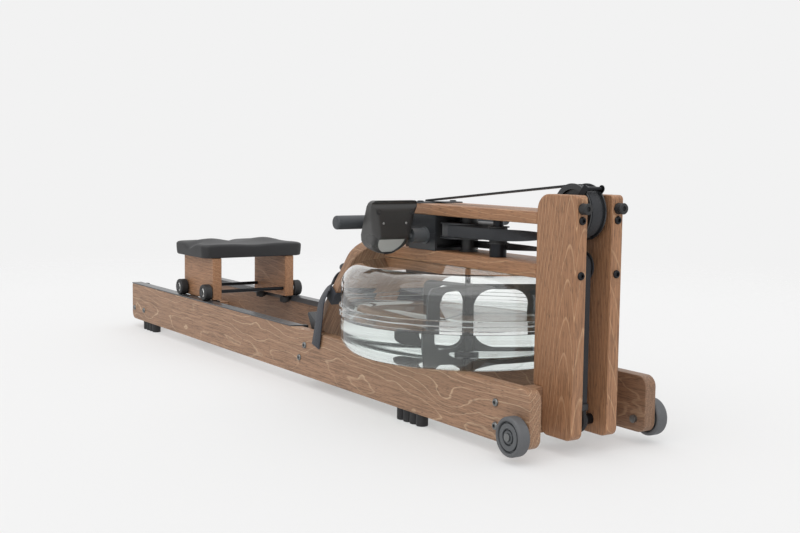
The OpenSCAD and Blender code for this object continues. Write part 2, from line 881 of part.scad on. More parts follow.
// Side view of a paddle arm: a frame with a window.
module paddle_arm() {
    window_in = paddle_hub + 3;
    window_out = paddle_radius * 0.72;
    window_low = paddle_bottom + 12;
    window_high = paddle_top - 14;
    difference() {
        translate([shaft_radius + 2, paddle_bottom]) difference() {
            square([paddle_radius - shaft_radius - 2, paddle_height]);
            corner_waste(paddle_radius - shaft_radius - 2, 0, -1, 1, 24);
            corner_waste(paddle_radius - shaft_radius - 2, paddle_height, -1, -1, 30);
        }
        translate([window_in, window_low]) rounded_board(window_out - window_in,
            window_high - window_low, 45, 30, 34, 45);
    }
}

module paddle_blades() {
    place() color("dimgray") translate([tank_axis, 0, 0]) difference() {
        union() {
            for (i = [1 : paddle_arms])
                rotate([0, 0, paddle_turn + i * 360 / paddle_arms])
                    side_slab(-blade_thickness / 2, blade_thickness / 2) paddle_arm();
            translate([0, 0, paddle_bottom - 1]) cylinder(r = paddle_hub,
                h = paddle_height + 2);
        }
        translate([0, 0, paddle_bottom - 2 * over])
            cylinder(r = shaft_radius, h = paddle_height + 4 * over);
    }
}

module drive_drum() {
    bore = shaft_radius + running_clearance;
    place() color("black") translate([tank_axis, 0, 0]) difference() {
        union() {
            for (z = [drum_z, drum_z + drum_height - drum_flange])
                translate([0, 0, z]) cylinder(r = drum_radius, h = drum_flange);
            translate([0, 0, drum_z]) cylinder(r = drum_core, h = drum_height);
            translate([0, 0, drum_z - recoil_height]) cylinder(r = recoil_radius,
                h = recoil_height);
            translate([0, 0, drum_z - recoil_height]) cylinder(r = recoil_radius + 5, h = 1.5);
        }
        translate([0, 0, drum_z - recoil_height - over])
            cylinder(r = bore, h = drum_height + recoil_height + 2 * over);
    }
}

module strap_winding() {
    place() color("darkslategray") translate([tank_axis, 0, drum_z + drum_flange])
        difference() {
            cylinder(r = winding_radius, h = drum_height - 2 * drum_flange);
            translate([0, 0, -over]) cylinder(r = drum_core, h = drum_height);
        }
}

guide_z = drum_z - 2;
guide_height = drum_height + 2;

module guide_roller() {
    place() color("black") translate([guide_x, -guide_aside, guide_z]) difference() {
        union() {
            cylinder(r = guide_radius, h = guide_height);
            cylinder(r = guide_radius + 4, h = 2);
            translate([0, 0, guide_height - 2]) cylinder(r = guide_radius + 4, h = 2);
        }
        translate([0, 0, -over])
            cylinder(r = pin_radius + running_clearance, h = guide_height + 2 * over);
    }
}

module pulley(x, z, flange, seat, width) {
    difference() {
        union() {
            cross_rod(x, z, seat, -width / 2, width / 2);
            mirrored() cross_rod(x, z, flange, width / 2 - pulley_flange, width / 2);
        }
        cross_rod(x, z, pin_radius + running_clearance, -width, width);
    }
}

module top_pulley() {
    place() color("black") difference() {
        pulley(top_pulley_x, top_pulley_z, top_pulley_radius, top_pulley_seat,
            top_pulley_width);
        // Dished side faces
        mirrored() translate([top_pulley_x, top_pulley_width / 2 + over, top_pulley_z])
            rotate([90, 0, 0]) difference() {
                cylinder(r = top_pulley_seat - 6, h = 5 + over);
                translate([0, 0, -over]) cylinder(r = pin_radius + 8, h = 5 + 3 * over);
            }
    }
}

module lower_pulley() {
    place() color("black") pulley(lower_pulley_x, lower_pulley_z, lower_pulley_radius + 4,
        lower_pulley_radius, lower_pulley_width);
}

module cord_roller() {
    place() color("black") difference() {
        pulley(cord_roller_x, cord_roller_z, cord_roller_radius, cord_roller_radius, 20);
        translate([cord_roller_x, 0, cord_roller_z]) rotate([90, 0, 0])
            rotate_extrude() translate([cord_roller_radius + 1.5, 0])
                circle(d = cord_diameter + 1);
    }
}

// Pins of the pulleys between the uprights, with their collars, and the roller's post.
module roller_pins() {
    widths = [top_pulley_width, lower_pulley_width, 20];
    place() color("silver") {
        for (i = [0 : 2]) {
            p = pin_places[i];
            cross_rod(p[0], p[1], pin_radius, -upright_inner - pin_depth,
                upright_inner + pin_depth);
            mirrored() cross_rod(p[0], p[1], pin_radius + 5,
                widths[i] / 2 + (i == 0 ? guard_plate + 2 * moving_gap : moving_gap),
                upright_inner);
        }
        translate([guide_x, -guide_aside, lower_deck_top - 7]) {
            cylinder(r = pin_radius, h = upper_deck_z - lower_deck_top + 14);
            translate([0, 0, 7]) cylinder(r = guide_radius - 1,
                h = guide_z - lower_deck_top - moving_gap);
            translate([0, 0, guide_z + guide_height + moving_gap - lower_deck_top + 7])
                cylinder(r = pin_radius + 5,
                    h = upper_deck_z - guide_z - guide_height - moving_gap);
        }
    }
}

guard_plate = 2;
guard_reach = top_pulley_radius + 4.5;
guard_turn = 50;

// Bar that keeps the strap on the top pulley, between two plates on its pin.
module strap_guard() {
    inner = top_pulley_width / 2 + moving_gap;
    bar = [top_pulley_x + guard_reach * cos(guard_turn),
        top_pulley_z + guard_reach * sin(guard_turn)];
    place() color("black") {
        mirrored() difference() {
            union() {
                translate([top_pulley_x, inner + guard_plate, top_pulley_z])
                    rotate([90, 0, 0]) rotate([0, 0, guard_turn])
                        translate([0, -7, 0]) cube([guard_reach, 14, guard_plate]);
                cross_rod(top_pulley_x, top_pulley_z, pin_radius + 6, inner,
                    inner + guard_plate);
                cross_rod(bar[0], bar[1], 7, inner, inner + guard_plate);
            }
            cross_rod(top_pulley_x, top_pulley_z, pin_radius + 0.05, 0, upright_inner);
        }
        cross_rod(bar[0], bar[1], 4, -inner - guard_plate / 2, inner + guard_plate / 2);
    }
}

// Middle line of the drive strap's fixed layer, from the nose plate to the drum.
guide_line = guide_radius + strap_gap + strap_thickness / 2;
drum_line = winding_radius + strap_gap + strap_thickness / 2;
drum_strap_z = drum_z + drum_height / 2;
pulley_low = [top_pulley_x, 0, top_pulley_z - strap_radius];
guide_point = [guide_x + 4, -guide_aside - guide_line, drum_strap_z];
drum_point = [tank_axis + 4, -drum_line, drum_strap_z];
function mix(a, b, t) = a * (1 - t) + b * t;
function ease(t) = t * t * (3 - 2 * t);
wrap_steps = 18;
twist_steps = 16;
strap_wrap = [for (i = [0 : wrap_steps])
    let (a = 90 + strap_fall - i * (180 + strap_fall) / wrap_steps)
    [top_pulley_x + strap_radius * cos(a), 0, top_pulley_z + strap_radius * sin(a)]];
strap_twist = [for (i = [1 : twist_steps]) mix(pulley_low, guide_point, i / twist_steps)];
drive_points = concat([[strap_back, 0, strap_end_z]], strap_wrap, strap_twist, [drum_point]);
drive_ups = concat([[0, 1, 0]], [for (p = strap_wrap) [0, 1, 0]],
    [for (i = [1 : twist_steps]) let (a = 90 * ease(i / twist_steps)) [0, cos(a), sin(a)]],
    [[0, 0, 1]]);

module drive_strap() {
    place() color("darkslategray")
        band(drive_points, drive_ups, drive_strap_width, strap_thickness);
}

recoil_line = recoil_radius + strap_gap + strap_thickness / 2;
recoil_z = drum_z - recoil_height / 2;
lower_line = lower_pulley_radius + strap_gap + strap_thickness / 2;
recoil_start = [tank_axis + 3, recoil_line, recoil_z];
recoil_top = [lower_pulley_x, 0, lower_pulley_z + lower_line];
recoil_end_z = 96;

module recoil_strap() {
    twist = [for (i = [0 : twist_steps]) mix(recoil_start, recoil_top, i / twist_steps)];
    turn = [for (i = [1 : 8]) let (a = 90 - i * 90 / 8)
        [lower_pulley_x + lower_line * cos(a), 0, lower_pulley_z + lower_line * sin(a)]];
    drop = [[lower_pulley_x + lower_line, 0, recoil_end_z]];
    ups = [for (i = [0 : twist_steps]) let (a = 90 * (1 - ease(i / twist_steps)))
        [0, cos(a), sin(a)]];
    place() color("black") {
        band(concat(twist, turn, drop), concat(ups, [for (i = [0 : 8]) [0, 1, 0]]),
            recoil_strap_width, strap_thickness);
        // Clip that joins the strap to the elastic cord
        translate([lower_pulley_x + lower_line - clip_depth / 2, -clip_width / 2,
            recoil_end_z - clip_height])
            cube([clip_depth, clip_width, clip_height]);
    }
}

// Elastic cord: down from the clip, round its roller and back to the footboard.
cord_line = cord_roller_radius + 1.5;
cord_rise = 20;
cord_inset = 4;
anchor_radius = 12;
anchor_height = 8;
clip_depth = 10;
clip_width = 16;
clip_height = 14;
cord_top = [lower_pulley_x + lower_line, 0, recoil_end_z - clip_height];
cord_low_z = cord_roller_z - cord_line;
cord_back = under_board(cord_low_z + cord_rise) + cord_inset;

module recoil_cord() {
    steps = 12;
    wrap = [for (i = [0 : steps]) let (a = -i * 90 / steps)
        [cord_roller_x + cord_line * cos(a), 0, cord_roller_z + cord_line * sin(a)]];
    route = concat([cord_top], wrap, [[cord_back, 0, cord_low_z + cord_rise]]);
    sides = 10;
    last = len(route) - 1;
    vertices = [for (i = [0 : last]) let (t = run(route, i), n = cross(t, [0, 1, 0]))
        each [for (k = [0 : sides - 1]) route[i] + cord_diameter / 2
            * (n * cos(k * 360 / sides) + [0, 1, 0] * sin(k * 360 / sides))]];
    walls = [for (i = [0 : last - 1]) for (k = [0 : sides - 1])
        let (a = sides * i + k, b = sides * i + (k + 1) % sides, c = b + sides, d = a + sides)
        each [[a, b, c], [a, c, d]]];
    caps = [[for (k = [sides - 1 : -1 : 0]) k],
        [for (k = [0 : sides - 1]) sides * last + k]];
    place() color("black") {
        polyhedron(points = vertices, faces = concat(walls, caps));
        // Anchor screwed to the footboard's lower face
        on_board() translate([anchor_s, 0, -board_thickness / 2 - anchor_height])
            cylinder(r = anchor_radius, h = anchor_height);
    }
}

anchor_s = (cord_low_z + cord_rise - board_z) / sin(board_angle);

// Straight layer of the strap over the deck, from x_back to x_front.
module strap_layer(x_back, x_front, offset_up) {
    points = [for (x = [x_back, x_front])
        [x - offset_up * sin(strap_fall), 0,
         strap_leave[1] - (strap_leave[0] - x) * tan(strap_fall)
         + offset_up * cos(strap_fall)]];
    band(points, [[0, 1, 0], [0, 1, 0]], drive_strap_width, layer_thickness);
}

module middle_strap() {
    place() color("darkslategray") strap_layer(strap_back, strap_leave[0] - 4, middle_offset);
}

module handle_strap() {
    drop_thickness = 1.6;
    lean = handle_offset * sin(strap_fall);
    drop_x = strap_back - lean - moving_gap - drop_thickness;
    drop_top = strap_end_z + handle_offset - 0.4;
    place() color("darkslategray") {
        strap_layer(drop_x + lean + 0.5, strap_leave[0] - 4, handle_offset);
        // Drop behind the deck's end to the eye round the handle
        translate([drop_x, -drive_strap_width / 2, handle_z])
            cube([drop_thickness, drive_strap_width, drop_top - handle_z]);
        difference() {
            union() {
                cross_rod(handle_x, handle_z, handle_core_radius + strap_eye,
                    -drive_strap_width / 2, drive_strap_width / 2);
                translate([handle_x, -drive_strap_width / 2, handle_z])
                    cube([drop_x - handle_x + 0.5, drive_strap_width, strap_eye]);
            }
            cross_rod(handle_x, handle_z, handle_core_radius, -handle_length, handle_length);
        }
    }
}

module handle_core() {
    place() color("dimgray") cross_rod(handle_x, handle_z, handle_core_radius,
        -handle_length / 2 + 6, handle_length / 2 - 6);
}

module handle_grips() {
    grip_from = 22;
    place() color("black") mirrored() difference() {
        union() {
            cross_rod(handle_x, handle_z, handle_radius, grip_from, handle_length / 2 - 3);
            cross_rod(handle_x, handle_z, handle_radius - 3, grip_from, handle_length / 2);
            translate([handle_x, handle_length / 2 - 3, handle_z]) rotate([90, 0, 0])
                rotate_extrude() translate([handle_radius - 3, 0]) circle(3);
        }
        cross_rod(handle_x, handle_z, handle_core_radius, 0, handle_length / 2 - 6);
    }
}

// Pad of the seat: round corners, swelling sides, two lobes and a notch in each end.
pad_round = 22;
pad_sides = 64;
// A place on the outline's first quarter
function pad_quarter(p) = let (a = pad_length / 2 - pad_round, b = pad_width / 2 - pad_round,
    q = pad_round * PI / 2)
    p < b ? [a + pad_round, p]
    : p < b + q ? let (t = (p - b) * 180 / (PI * pad_round))
        [a + pad_round * cos(t), b + pad_round * sin(t)]
    : [a - (p - b - q), b + pad_round];
function pad_edge(k, f) = let (n = pad_sides / 4, quarter = floor(k / n), m = k % n,
    full = pad_length / 2 + pad_width / 2 - 2 * pad_round + pad_round * PI / 2,
    p = pad_quarter((quarter % 2 == 0 ? m : n - m) * full / n))
    f * [quarter == 1 || quarter == 2 ? -p[0] : p[0], quarter > 1 ? -p[1] : p[1]];
// A round rise of the pad's top; u and v are parts of its length and width.
function bump(u, v, middle_u, middle_v, reach_u, reach_v) =
    exp(-pow((u - middle_u) / reach_u, 2) - pow((v - middle_v) / reach_v, 2));
function pad_top(x, y) = let (u = x / pad_length, v = y / pad_width, w = abs(y) / pad_width)
    pad_thickness * 0.95 + pad_crown * (bump(u, w, 0.02, 0.27, 0.34, 0.16)
    + 0.5 * bump(u, w, 0.49, 0.31, 0.18, 0.19) - 0.6 * bump(u, v, -0.48, 0, 0.27, 0.075)
    - 1.3 * bump(u, w, 0, 0.5, 0.14, 0.1) - 0.2 * bump(u, v, 0.5, 0, 0.27, 0.125));
pad_rings = [[0.25, 1], [0.5, 1], [0.72, 1], [0.88, 1], [0.96, 0.985], [0.99, 0.93],
    [1, 0.8], [0.997, 0.5], [0.985, 0.2], [0.97, 0.04], [0.95, 0], [0.5, 0]];
pad_x = seat_at + block_length / 2;

module seat_pad() {
    vertices = concat([[0, 0, pad_top(0, 0)]],
        [for (r = pad_rings) for (k = [0 : pad_sides - 1])
            let (p = pad_edge(k, r[0])) [p[0], p[1], r[1] * pad_top(p[0], p[1])]],
        [[0, 0, 0]]);
    rows = len(pad_rings);
    low = rows * pad_sides + 1;
    faces = concat(
        [for (k = [0 : pad_sides - 1]) [0, 1 + (k + 1) % pad_sides, 1 + k]],
        [for (i = [0 : rows - 2]) for (k = [0 : pad_sides - 1])
            let (a = 1 + i * pad_sides + k, b = 1 + i * pad_sides + (k + 1) % pad_sides)
            each [[a, b, b + pad_sides], [a, b + pad_sides, a + pad_sides]]],
        [for (k = [0 : pad_sides - 1])
            [low, low - pad_sides + k, low - pad_sides + (k + 1) % pad_sides]]);
    place() color("darkslategray") translate([pad_x, 0, block_top])
        polyhedron(points = vertices, faces = faces);
}

module seat_blocks() {
    place() color("peru") mirrored() difference() {
        translate([seat_at, block_outer - block_thickness, block_bottom])
            cube([block_length, block_thickness, block_height]);
        for (x = [rear_seat_axle, front_seat_axle])
            cross_rod(x, seat_axle_z, seat_axle_radius, 0, rail_outer);
        for (x = [seat_at + guide_wheel_inset, seat_at + block_length - guide_wheel_inset])
            translate([x, guide_wheel_y, block_bottom - over])
                cylinder(r = guide_pin_radius, h = 12 + over);
    }
}

module seat_axles() {
    wheel_out = seat_wheel_inner + seat_wheel_width + moving_gap;
    place() color("black") {
        for (x = [rear_seat_axle, front_seat_axle]) {
            cross_rod(x, seat_axle_z, seat_axle_radius, -wheel_out, wheel_out);
            mirrored() cross_rod(x, seat_axle_z, 9, wheel_out, wheel_out + 2);
            mirrored() cross_rod(x, seat_axle_z, 9, block_outer, seat_wheel_inner - moving_gap);
        }
        mirrored()
            for (x = [seat_at + guide_wheel_inset, seat_at + block_length - guide_wheel_inset])
                translate([x, guide_wheel_y, guide_wheel_z - moving_gap]) {
                    cylinder(r = guide_pin_radius, h = block_bottom + 12 - guide_wheel_z);
                    translate([0, 0, -2]) cylinder(r = 7, h = 2);
                    translate([0, 0, guide_roller_height + 2 * moving_gap])
                        cylinder(r = 7, h = block_bottom - guide_wheel_z
                            - guide_roller_height - moving_gap);
                }
    }
}

// A pair of seat wheels on one axle line: a round-shouldered tyre with a dished face.
module seat_wheel_pair(x) {
    r = seat_wheel_diameter / 2;
    side = 4;
    mirrored() translate([x, seat_wheel_inner + seat_wheel_width, seat_axle_z])
        rotate([90, 0, 0]) difference() {
            rotate_extrude() difference() {
                square([r, seat_wheel_width]);
                corner_waste(r, 0, -1, 1, side);
                corner_waste(r, seat_wheel_width, -1, -1, side);
                translate([9.5, -over]) square([r - 15.5, 2.5 + over]);
            }
            translate([0, 0, -over]) cylinder(r = seat_axle_radius + running_clearance,
                h = seat_wheel_width + 2 * over);
        }
}

module front_seat_wheels() {
    place() color("dimgray") seat_wheel_pair(front_seat_axle);
}

module rear_seat_wheels() {
    place() color("dimgray") seat_wheel_pair(rear_seat_axle);
}

module guide_wheel(x, side) {
    translate([x, side * guide_wheel_y, guide_wheel_z]) rotate_extrude() difference() {
        square([guide_wheel_radius, guide_roller_height]);
        corner_waste(guide_wheel_radius, 0, -1, 1, 3);
        corner_waste(guide_wheel_radius, guide_roller_height, -1, -1, 3);
        translate([-over, -over]) square([guide_pin_radius + running_clearance + over,
            guide_roller_height + 2 * over]);
    }
}

module right_front_guide() {
    place() color("black") guide_wheel(seat_at + block_length - guide_wheel_inset, -1);
}

module right_rear_guide() {
    place() color("black") guide_wheel(seat_at + guide_wheel_inset, -1);
}

module left_front_guide() {
    place() color("black") guide_wheel(seat_at + block_length - guide_wheel_inset, 1);
}

module left_rear_guide() {
    place() color("black") guide_wheel(seat_at + guide_wheel_inset, 1);
}

// Tail of a foot strap: parts of its drop along X and Z, and of its way out to the rail.
tail_drop = 148;
tail_start = 207;
tail_points = [
    [0, 0, 0], [-0.05, 0.28, -0.055], [-0.07, 0.75, -0.16], [-0.075, 1.05, -0.26],
    [-0.115, 1.06, -0.4], [-0.162, 1.02, -0.554], [-0.223, 1, -0.8], [-0.277, 1, -1]];
strap_rise = 47;
stud_up = 72;
stud_inset = 11;
stud_radius = 10;
stud_height = 11;

// Outline of the strap's loop: straight round the board, and a bow over the foot.
module strap_loop(outer_y, inset) {
    low = -board_thickness / 2 - webbing - 0.2 + inset;
    high = board_thickness / 2 + 2;
    from_y = strap_inner_y - webbing + inset;
    to_y = outer_y - inset;
    steps = 16;
    polygon(concat([[from_y, low], [to_y, low]], [for (i = [0 : steps])
        [mix(to_y, from_y, i / steps), high + (strap_rise - inset) * sin(180 * i / steps)]]));
}

module foot_straps() {
    strap_outer_y = board_half(foot_strap_at - strap_webbing / 2) + webbing + 0.3;
    tail_y = rail_outer + 4;
    start_y = strap_outer_y - webbing / 2;
    start = [board_at + tail_start * cos(board_angle) - board_thickness / 2 * sin(board_angle),
        start_y,
        board_z + tail_start * sin(board_angle) + board_thickness / 2 * cos(board_angle)];
    place() color("black") mirrored() {
        on_board() translate([foot_strap_at - strap_webbing / 2, 0, 0])
            rotate([90, 0, 90]) linear_extrude(strap_webbing) difference() {
                strap_loop(strap_outer_y, 0);
                strap_loop(strap_outer_y, webbing);
            }
        // Tail of the webbing, hanging outside the rail
        band([for (p = tail_points)
                start + [p[0] * tail_drop, p[1] * (tail_y - start_y), p[2] * tail_drop]],
            [for (i = [0 : len(tail_points) - 1]) [1, 0.35 - 0.05 * i, 0]],
            strap_webbing, webbing);
        // Round stud that holds the webbing's end
        on_board() translate([foot_strap_at + stud_up,
            board_half(foot_strap_at + stud_up) - stud_inset, board_thickness / 2])
            cylinder(r = stud_radius, h = stud_height);
    }
}

// A heel rest: a plate with a cup that stops the heel, one outline swept across.
module heel_rest(side) {
    face = board_thickness / 2 + moving_gap;
    top = face + heel_plate;
    back = heel_at - heel_reach;
    place() color("black") on_board() translate([0, side * heel_y, 0])
        side_slab(-heel_width / 2, heel_width / 2)
            polygon([[back, face], [foot_strap_at + 40, face],
                [foot_strap_at + 44, top - 2], [foot_strap_at + 40, top], [heel_at + 26, top],
                [heel_at + 16, top + 5], [heel_at + 7, face + heel_cup], [heel_at, face + heel_cup],
                [heel_at - 15, face + heel_cup * 0.45], [back + 18, top + 2], [back, top - 1]]);
}

module right_heel_rest() {
    heel_rest(-1);
}

module left_heel_rest() {
    heel_rest(1);
}

module monitor_arm() {
    tip = monitor_width / 2 - monitor_y - monitor_draw - 6;
    place() color("black") {
        cross_rod(arm_x, arm_z, arm_diameter / 2 + 3, -deck_width / 2 - 3, -deck_width / 2);
        cross_rod(arm_x, arm_z, arm_diameter / 2, -monitor_edge + moving_gap,
            -deck_width / 2 - 3);
        cross_rod(arm_x, arm_z, monitor_pin, -tip, -monitor_edge + moving_gap);
    }
}

// Side view of the monitor round its hinge, inset for its inner space.
module monitor_side(inset) {
    back = 20 - inset;
    polygon([[back, monitor_above - inset], [back - 5, -16], [back - 14, -monitor_below + inset],
        [back - 34, -monitor_below + inset], [face_low[0] + 8 + inset, -27 + inset],
        [face_low[0] - 2 + inset, -11], [face_low[0] + inset, face_low[1]],
        [face_high[0] + inset, monitor_above - inset]]);
}

// Front view of the monitor: its sides draw in to a round lower end.
module monitor_front(inset) {
    half = monitor_width / 2 - inset;
    waist = half - monitor_draw;
    top = monitor_above - inset;
    low = monitor_below - inset;
    steps = 12;
    polygon(concat([[half - 1, top - 6], [half - 5, top - 1.5], [half - 10, top],
        [-half + 10, top], [-half + 5, top - 1.5], [-half + 1, top - 6], [-half, top - 14]],
        [for (i = [0 : steps]) let (a = 180 + i * 180 / steps)
            [waist * cos(a), -8 + (low - 8) * sin(a)]],
        [[half, top - 14]]));
}

module monitor_body(inset) {
    on_hinge() intersection() {
        side_slab(-monitor_width, monitor_width) monitor_side(inset);
        rotate([90, 0, 90]) translate([0, 0, -monitor_block / 2])
            linear_extrude(monitor_block) monitor_front(inset);
    }
}

monitor_block = 400;

// A block that starts at a height off the display face.
module face_half(low) {
    on_display() translate([-monitor_block / 2, -monitor_block / 2, low])
        cube(monitor_block);
}

module monitor_case() {
    hollow = [screen_height + 28, screen_width + 8];
    place() color("darkslategray") difference() {
        intersection() {
            monitor_body(0);
            face_half(-bezel);
        }
        on_display() {
            // Recess of the screen
            translate([-screen_height / 2 + 12, -screen_width / 2, -3])
                cube([screen_height, screen_width, 3 + over]);
            translate([-hollow[0] / 2, -hollow[1] / 2, -bezel - over])
                cube([hollow[0], hollow[1], bezel + over - 6]);
            for (y = button_rows) translate([button_up, y, -bezel])
                cylinder(d = button_diameter + 2 * moving_gap, h = bezel + over);
        }
    }
}

button_rows = [-24, 0, 24];
button_up = -24;

module monitor_back() {
    place() color("dimgray") difference() {
        intersection() {
            monitor_body(0);
            face_half(-bezel - monitor_block);
        }
        difference() {
            intersection() {
                monitor_body(4);
                face_half(-bezel - monitor_block + over);
            }
            // Hinge bosses
            on_hinge() mirrored() cross_rod(0, 0, monitor_pin + 5,
                monitor_width / 2 - 28, monitor_width);
        }
        on_hinge() cross_rod(0, 0, monitor_pin + running_clearance,
            4 + monitor_draw - monitor_width / 2, monitor_width);
    }
}

module monitor_screen() {
    place() color("lightgray") on_display()
        translate([-screen_height / 2 + 12.1, -screen_width / 2 + 0.1, -3])
            cube([screen_height - 0.2, screen_width - 0.2, 2.4]);
}

module monitor_button(row) {
    place() color("gray") on_display() translate([button_up, button_rows[row], 0]) {
        translate([0, 0, -6]) cylinder(d = button_diameter, h = 6 + button_proud);
        translate([0, 0, -6 - 1.5]) cylinder(d = button_diameter + 4, h = 1.5);
    }
}

module left_button() {
    monitor_button(2);
}

module middle_button() {
    monitor_button(1);
}

module right_button() {
    monitor_button(0);
}

module transport_wheel(side) {
    r = transport_diameter / 2;
    inner = rail_outer + 2;
    place() color("gray") mirror([0, side < 0 ? 1 : 0, 0])
        translate([transport_x, inner + transport_width, transport_z]) rotate([90, 0, 0])
            difference() {
                rotate_extrude() difference() {
                    square([r, transport_width]);
                    corner_waste(r, 0, -1, 1, 7);
                    corner_waste(r, transport_width, -1, -1, 7);
                    translate([bolt_head / 2 + 5, -over]) square([r - 21.5, 3 + over]);
                    translate([bolt_head / 2 + 5, transport_width - 3])
                        square([r - 21.5, 3 + over]);
                }
                translate([0, 0, -over]) cylinder(r = pin_radius + running_clearance,
                    h = transport_width + 2 * over);
            }
}

module right_transport_wheel() {
    transport_wheel(-1);
}

module left_transport_wheel() {
    transport_wheel(1);
}

right_rail();
left_rail();
cross_boards();
right_upright();
left_upright();
upper_deck();
lower_deck();
footboard();
seat_tracks();
track_stops();
rubber_feet();
rail_bolts();
deck_screws();
front_bumpers();
deck_bracket();
handle_rest();
tank_lower_shell();
tank_upper_shell();
tank_seals();
tank_water();
shaft_bearings();
roller_pins();
strap_guard();
drive_strap();
recoil_strap();
recoil_cord();
monitor_arm();
foot_straps();
paddle_shaft();
paddle_blades();
drive_drum();
strap_winding();
guide_roller();
top_pulley();
lower_pulley();
cord_roller();
middle_strap();
handle_strap();
handle_core();
handle_grips();
seat_pad();
seat_blocks();
seat_axles();
front_seat_wheels();
rear_seat_wheels();
right_front_guide();
right_rear_guide();
left_front_guide();
left_rear_guide();
monitor_case();
monitor_back();
monitor_screen();
left_button();
middle_button();
right_button();
right_heel_rest();
left_heel_rest();
right_transport_wheel();
left_transport_wheel();
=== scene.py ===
# %% [markdown]
# # A water rowing machine
# The machine has two wooden rails with a seat that rolls between them, a footboard, a
# clear tank of water with a paddle in it, and a strap that runs from the handle over a
# pulley to a drum on the paddle's shaft. The exact solids come from the CAD model. This
# notebook gives them the look of stained timber, clear plastic, rubber and webbing.

# %% Load the solids
import bmesh
import bpy
import numpy as np
from mathutils import Matrix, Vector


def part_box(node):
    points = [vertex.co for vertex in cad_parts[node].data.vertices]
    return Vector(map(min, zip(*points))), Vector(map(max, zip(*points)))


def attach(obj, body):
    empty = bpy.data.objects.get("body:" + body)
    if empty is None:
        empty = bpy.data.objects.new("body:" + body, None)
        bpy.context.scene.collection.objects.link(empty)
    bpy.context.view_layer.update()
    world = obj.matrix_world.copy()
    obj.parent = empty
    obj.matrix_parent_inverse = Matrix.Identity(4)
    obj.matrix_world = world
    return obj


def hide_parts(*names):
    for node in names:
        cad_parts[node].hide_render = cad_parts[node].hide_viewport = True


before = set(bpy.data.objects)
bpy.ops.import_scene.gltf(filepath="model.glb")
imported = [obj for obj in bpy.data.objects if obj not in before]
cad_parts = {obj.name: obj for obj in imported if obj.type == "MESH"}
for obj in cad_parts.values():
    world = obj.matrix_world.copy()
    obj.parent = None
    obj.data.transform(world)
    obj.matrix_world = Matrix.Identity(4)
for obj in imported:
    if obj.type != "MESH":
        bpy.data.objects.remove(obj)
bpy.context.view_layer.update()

# %% [markdown]
# ## The camera
# A photograph fixes where its camera stood. The place, the heading, the tilt and the
# small roll were found from straight edges of the rails and uprights, so the render can
# be laid over the photograph. Blender would take three turning angles as well, but axes
# worked out from the heading and the tilt show what each angle does.

# %% Stand the camera where the photographer stood
CAMERA_PLACE = np.array([2.69808, -1.53541, 0.57064])
HEADING, TILT, ROLL = np.radians([57.007, 5.337, 0.742])
LENS_MM, SENSOR_MM, FARTHEST = 53.11, 36.0, 60.0


def camera_axes(heading, tilt, roll):
    """Right, up and backward directions of a camera: it first looks along +Y, turns by
    the heading towards -X, tips down by the tilt, and rolls about its own line of sight."""
    sight = np.array([-np.sin(heading) * np.cos(tilt), np.cos(heading) * np.cos(tilt), -np.sin(tilt)])
    level = np.array([np.cos(heading), np.sin(heading), 0.0])
    above = np.cross(level, sight)
    right = np.cos(roll) * level + np.sin(roll) * above
    up = -np.sin(roll) * level + np.cos(roll) * above
    return right, up, -sight


def shown(data, axes=np.eye(3), place=(0.0, 0.0, 0.0)):
    """An object in the scene for a camera, a lamp or a mesh. The columns of its matrix are
    its own X, Y and Z axes and its place."""
    thing = bpy.data.objects.new(data.name, data)
    bpy.context.scene.collection.objects.link(thing)
    matrix = np.eye(4)
    matrix[:3] = np.column_stack([*axes, place])
    thing.matrix_world = Matrix(matrix.tolist())
    return thing


camera_data = bpy.data.cameras.new("photo_camera")
camera_data.lens = LENS_MM
camera_data.sensor_width = SENSOR_MM
camera_data.clip_end = FARTHEST
bpy.context.scene.camera = shown(camera_data, camera_axes(HEADING, TILT, ROLL), CAMERA_PLACE)
bpy.context.scene.view_settings.view_transform = "Standard"
print("camera at", CAMERA_PLACE, "lens", camera_data.lens)

# %% [markdown]
# ## Meshes from arrays
# A surface is a grid of points: one direction runs round a section and the other runs
# along it. Numpy works out every point at once, and from_pydata hands the grid to
# Blender. Rotating a profile, carrying a band along a path and rounding a board's edges
# are all this one grid with another formula for its points. Modelling tools and
# modifiers would do the same by hand, but a formula can be read and changed.

# %% Grids and the piece that holds them
X_AXIS, Y_AXIS, UP = (1.0, 0.0, 0.0), (0.0, 1.0, 0.0), (0.0, 0.0, 1.0)
STEEP, SOFT = np.radians(38), np.radians(60)


def grid_faces(rows, columns, wrap):
    """Quads of a grid of points stored row by row; wrap joins the last column to the first."""
    r, c = np.meshgrid(np.arange(rows - 1), np.arange(columns if wrap else columns - 1), indexing="ij")
    a = r * columns + c
    b = r * columns + (c + 1) % columns
    return np.stack([a, b, b + columns, a + columns], axis=-1).reshape(-1, 4)


def closed_faces(rows, columns, turned_over=False):
    """Faces of a grid that wraps, whose first and last rows are closed by one face each."""
    faces = grid_faces(rows, columns, True).tolist()
    faces.append(list(range(columns))[::-1])
    faces.append([(rows - 1) * columns + k for k in range(columns)])
    return [f[::-1] for f in faces] if turned_over else faces


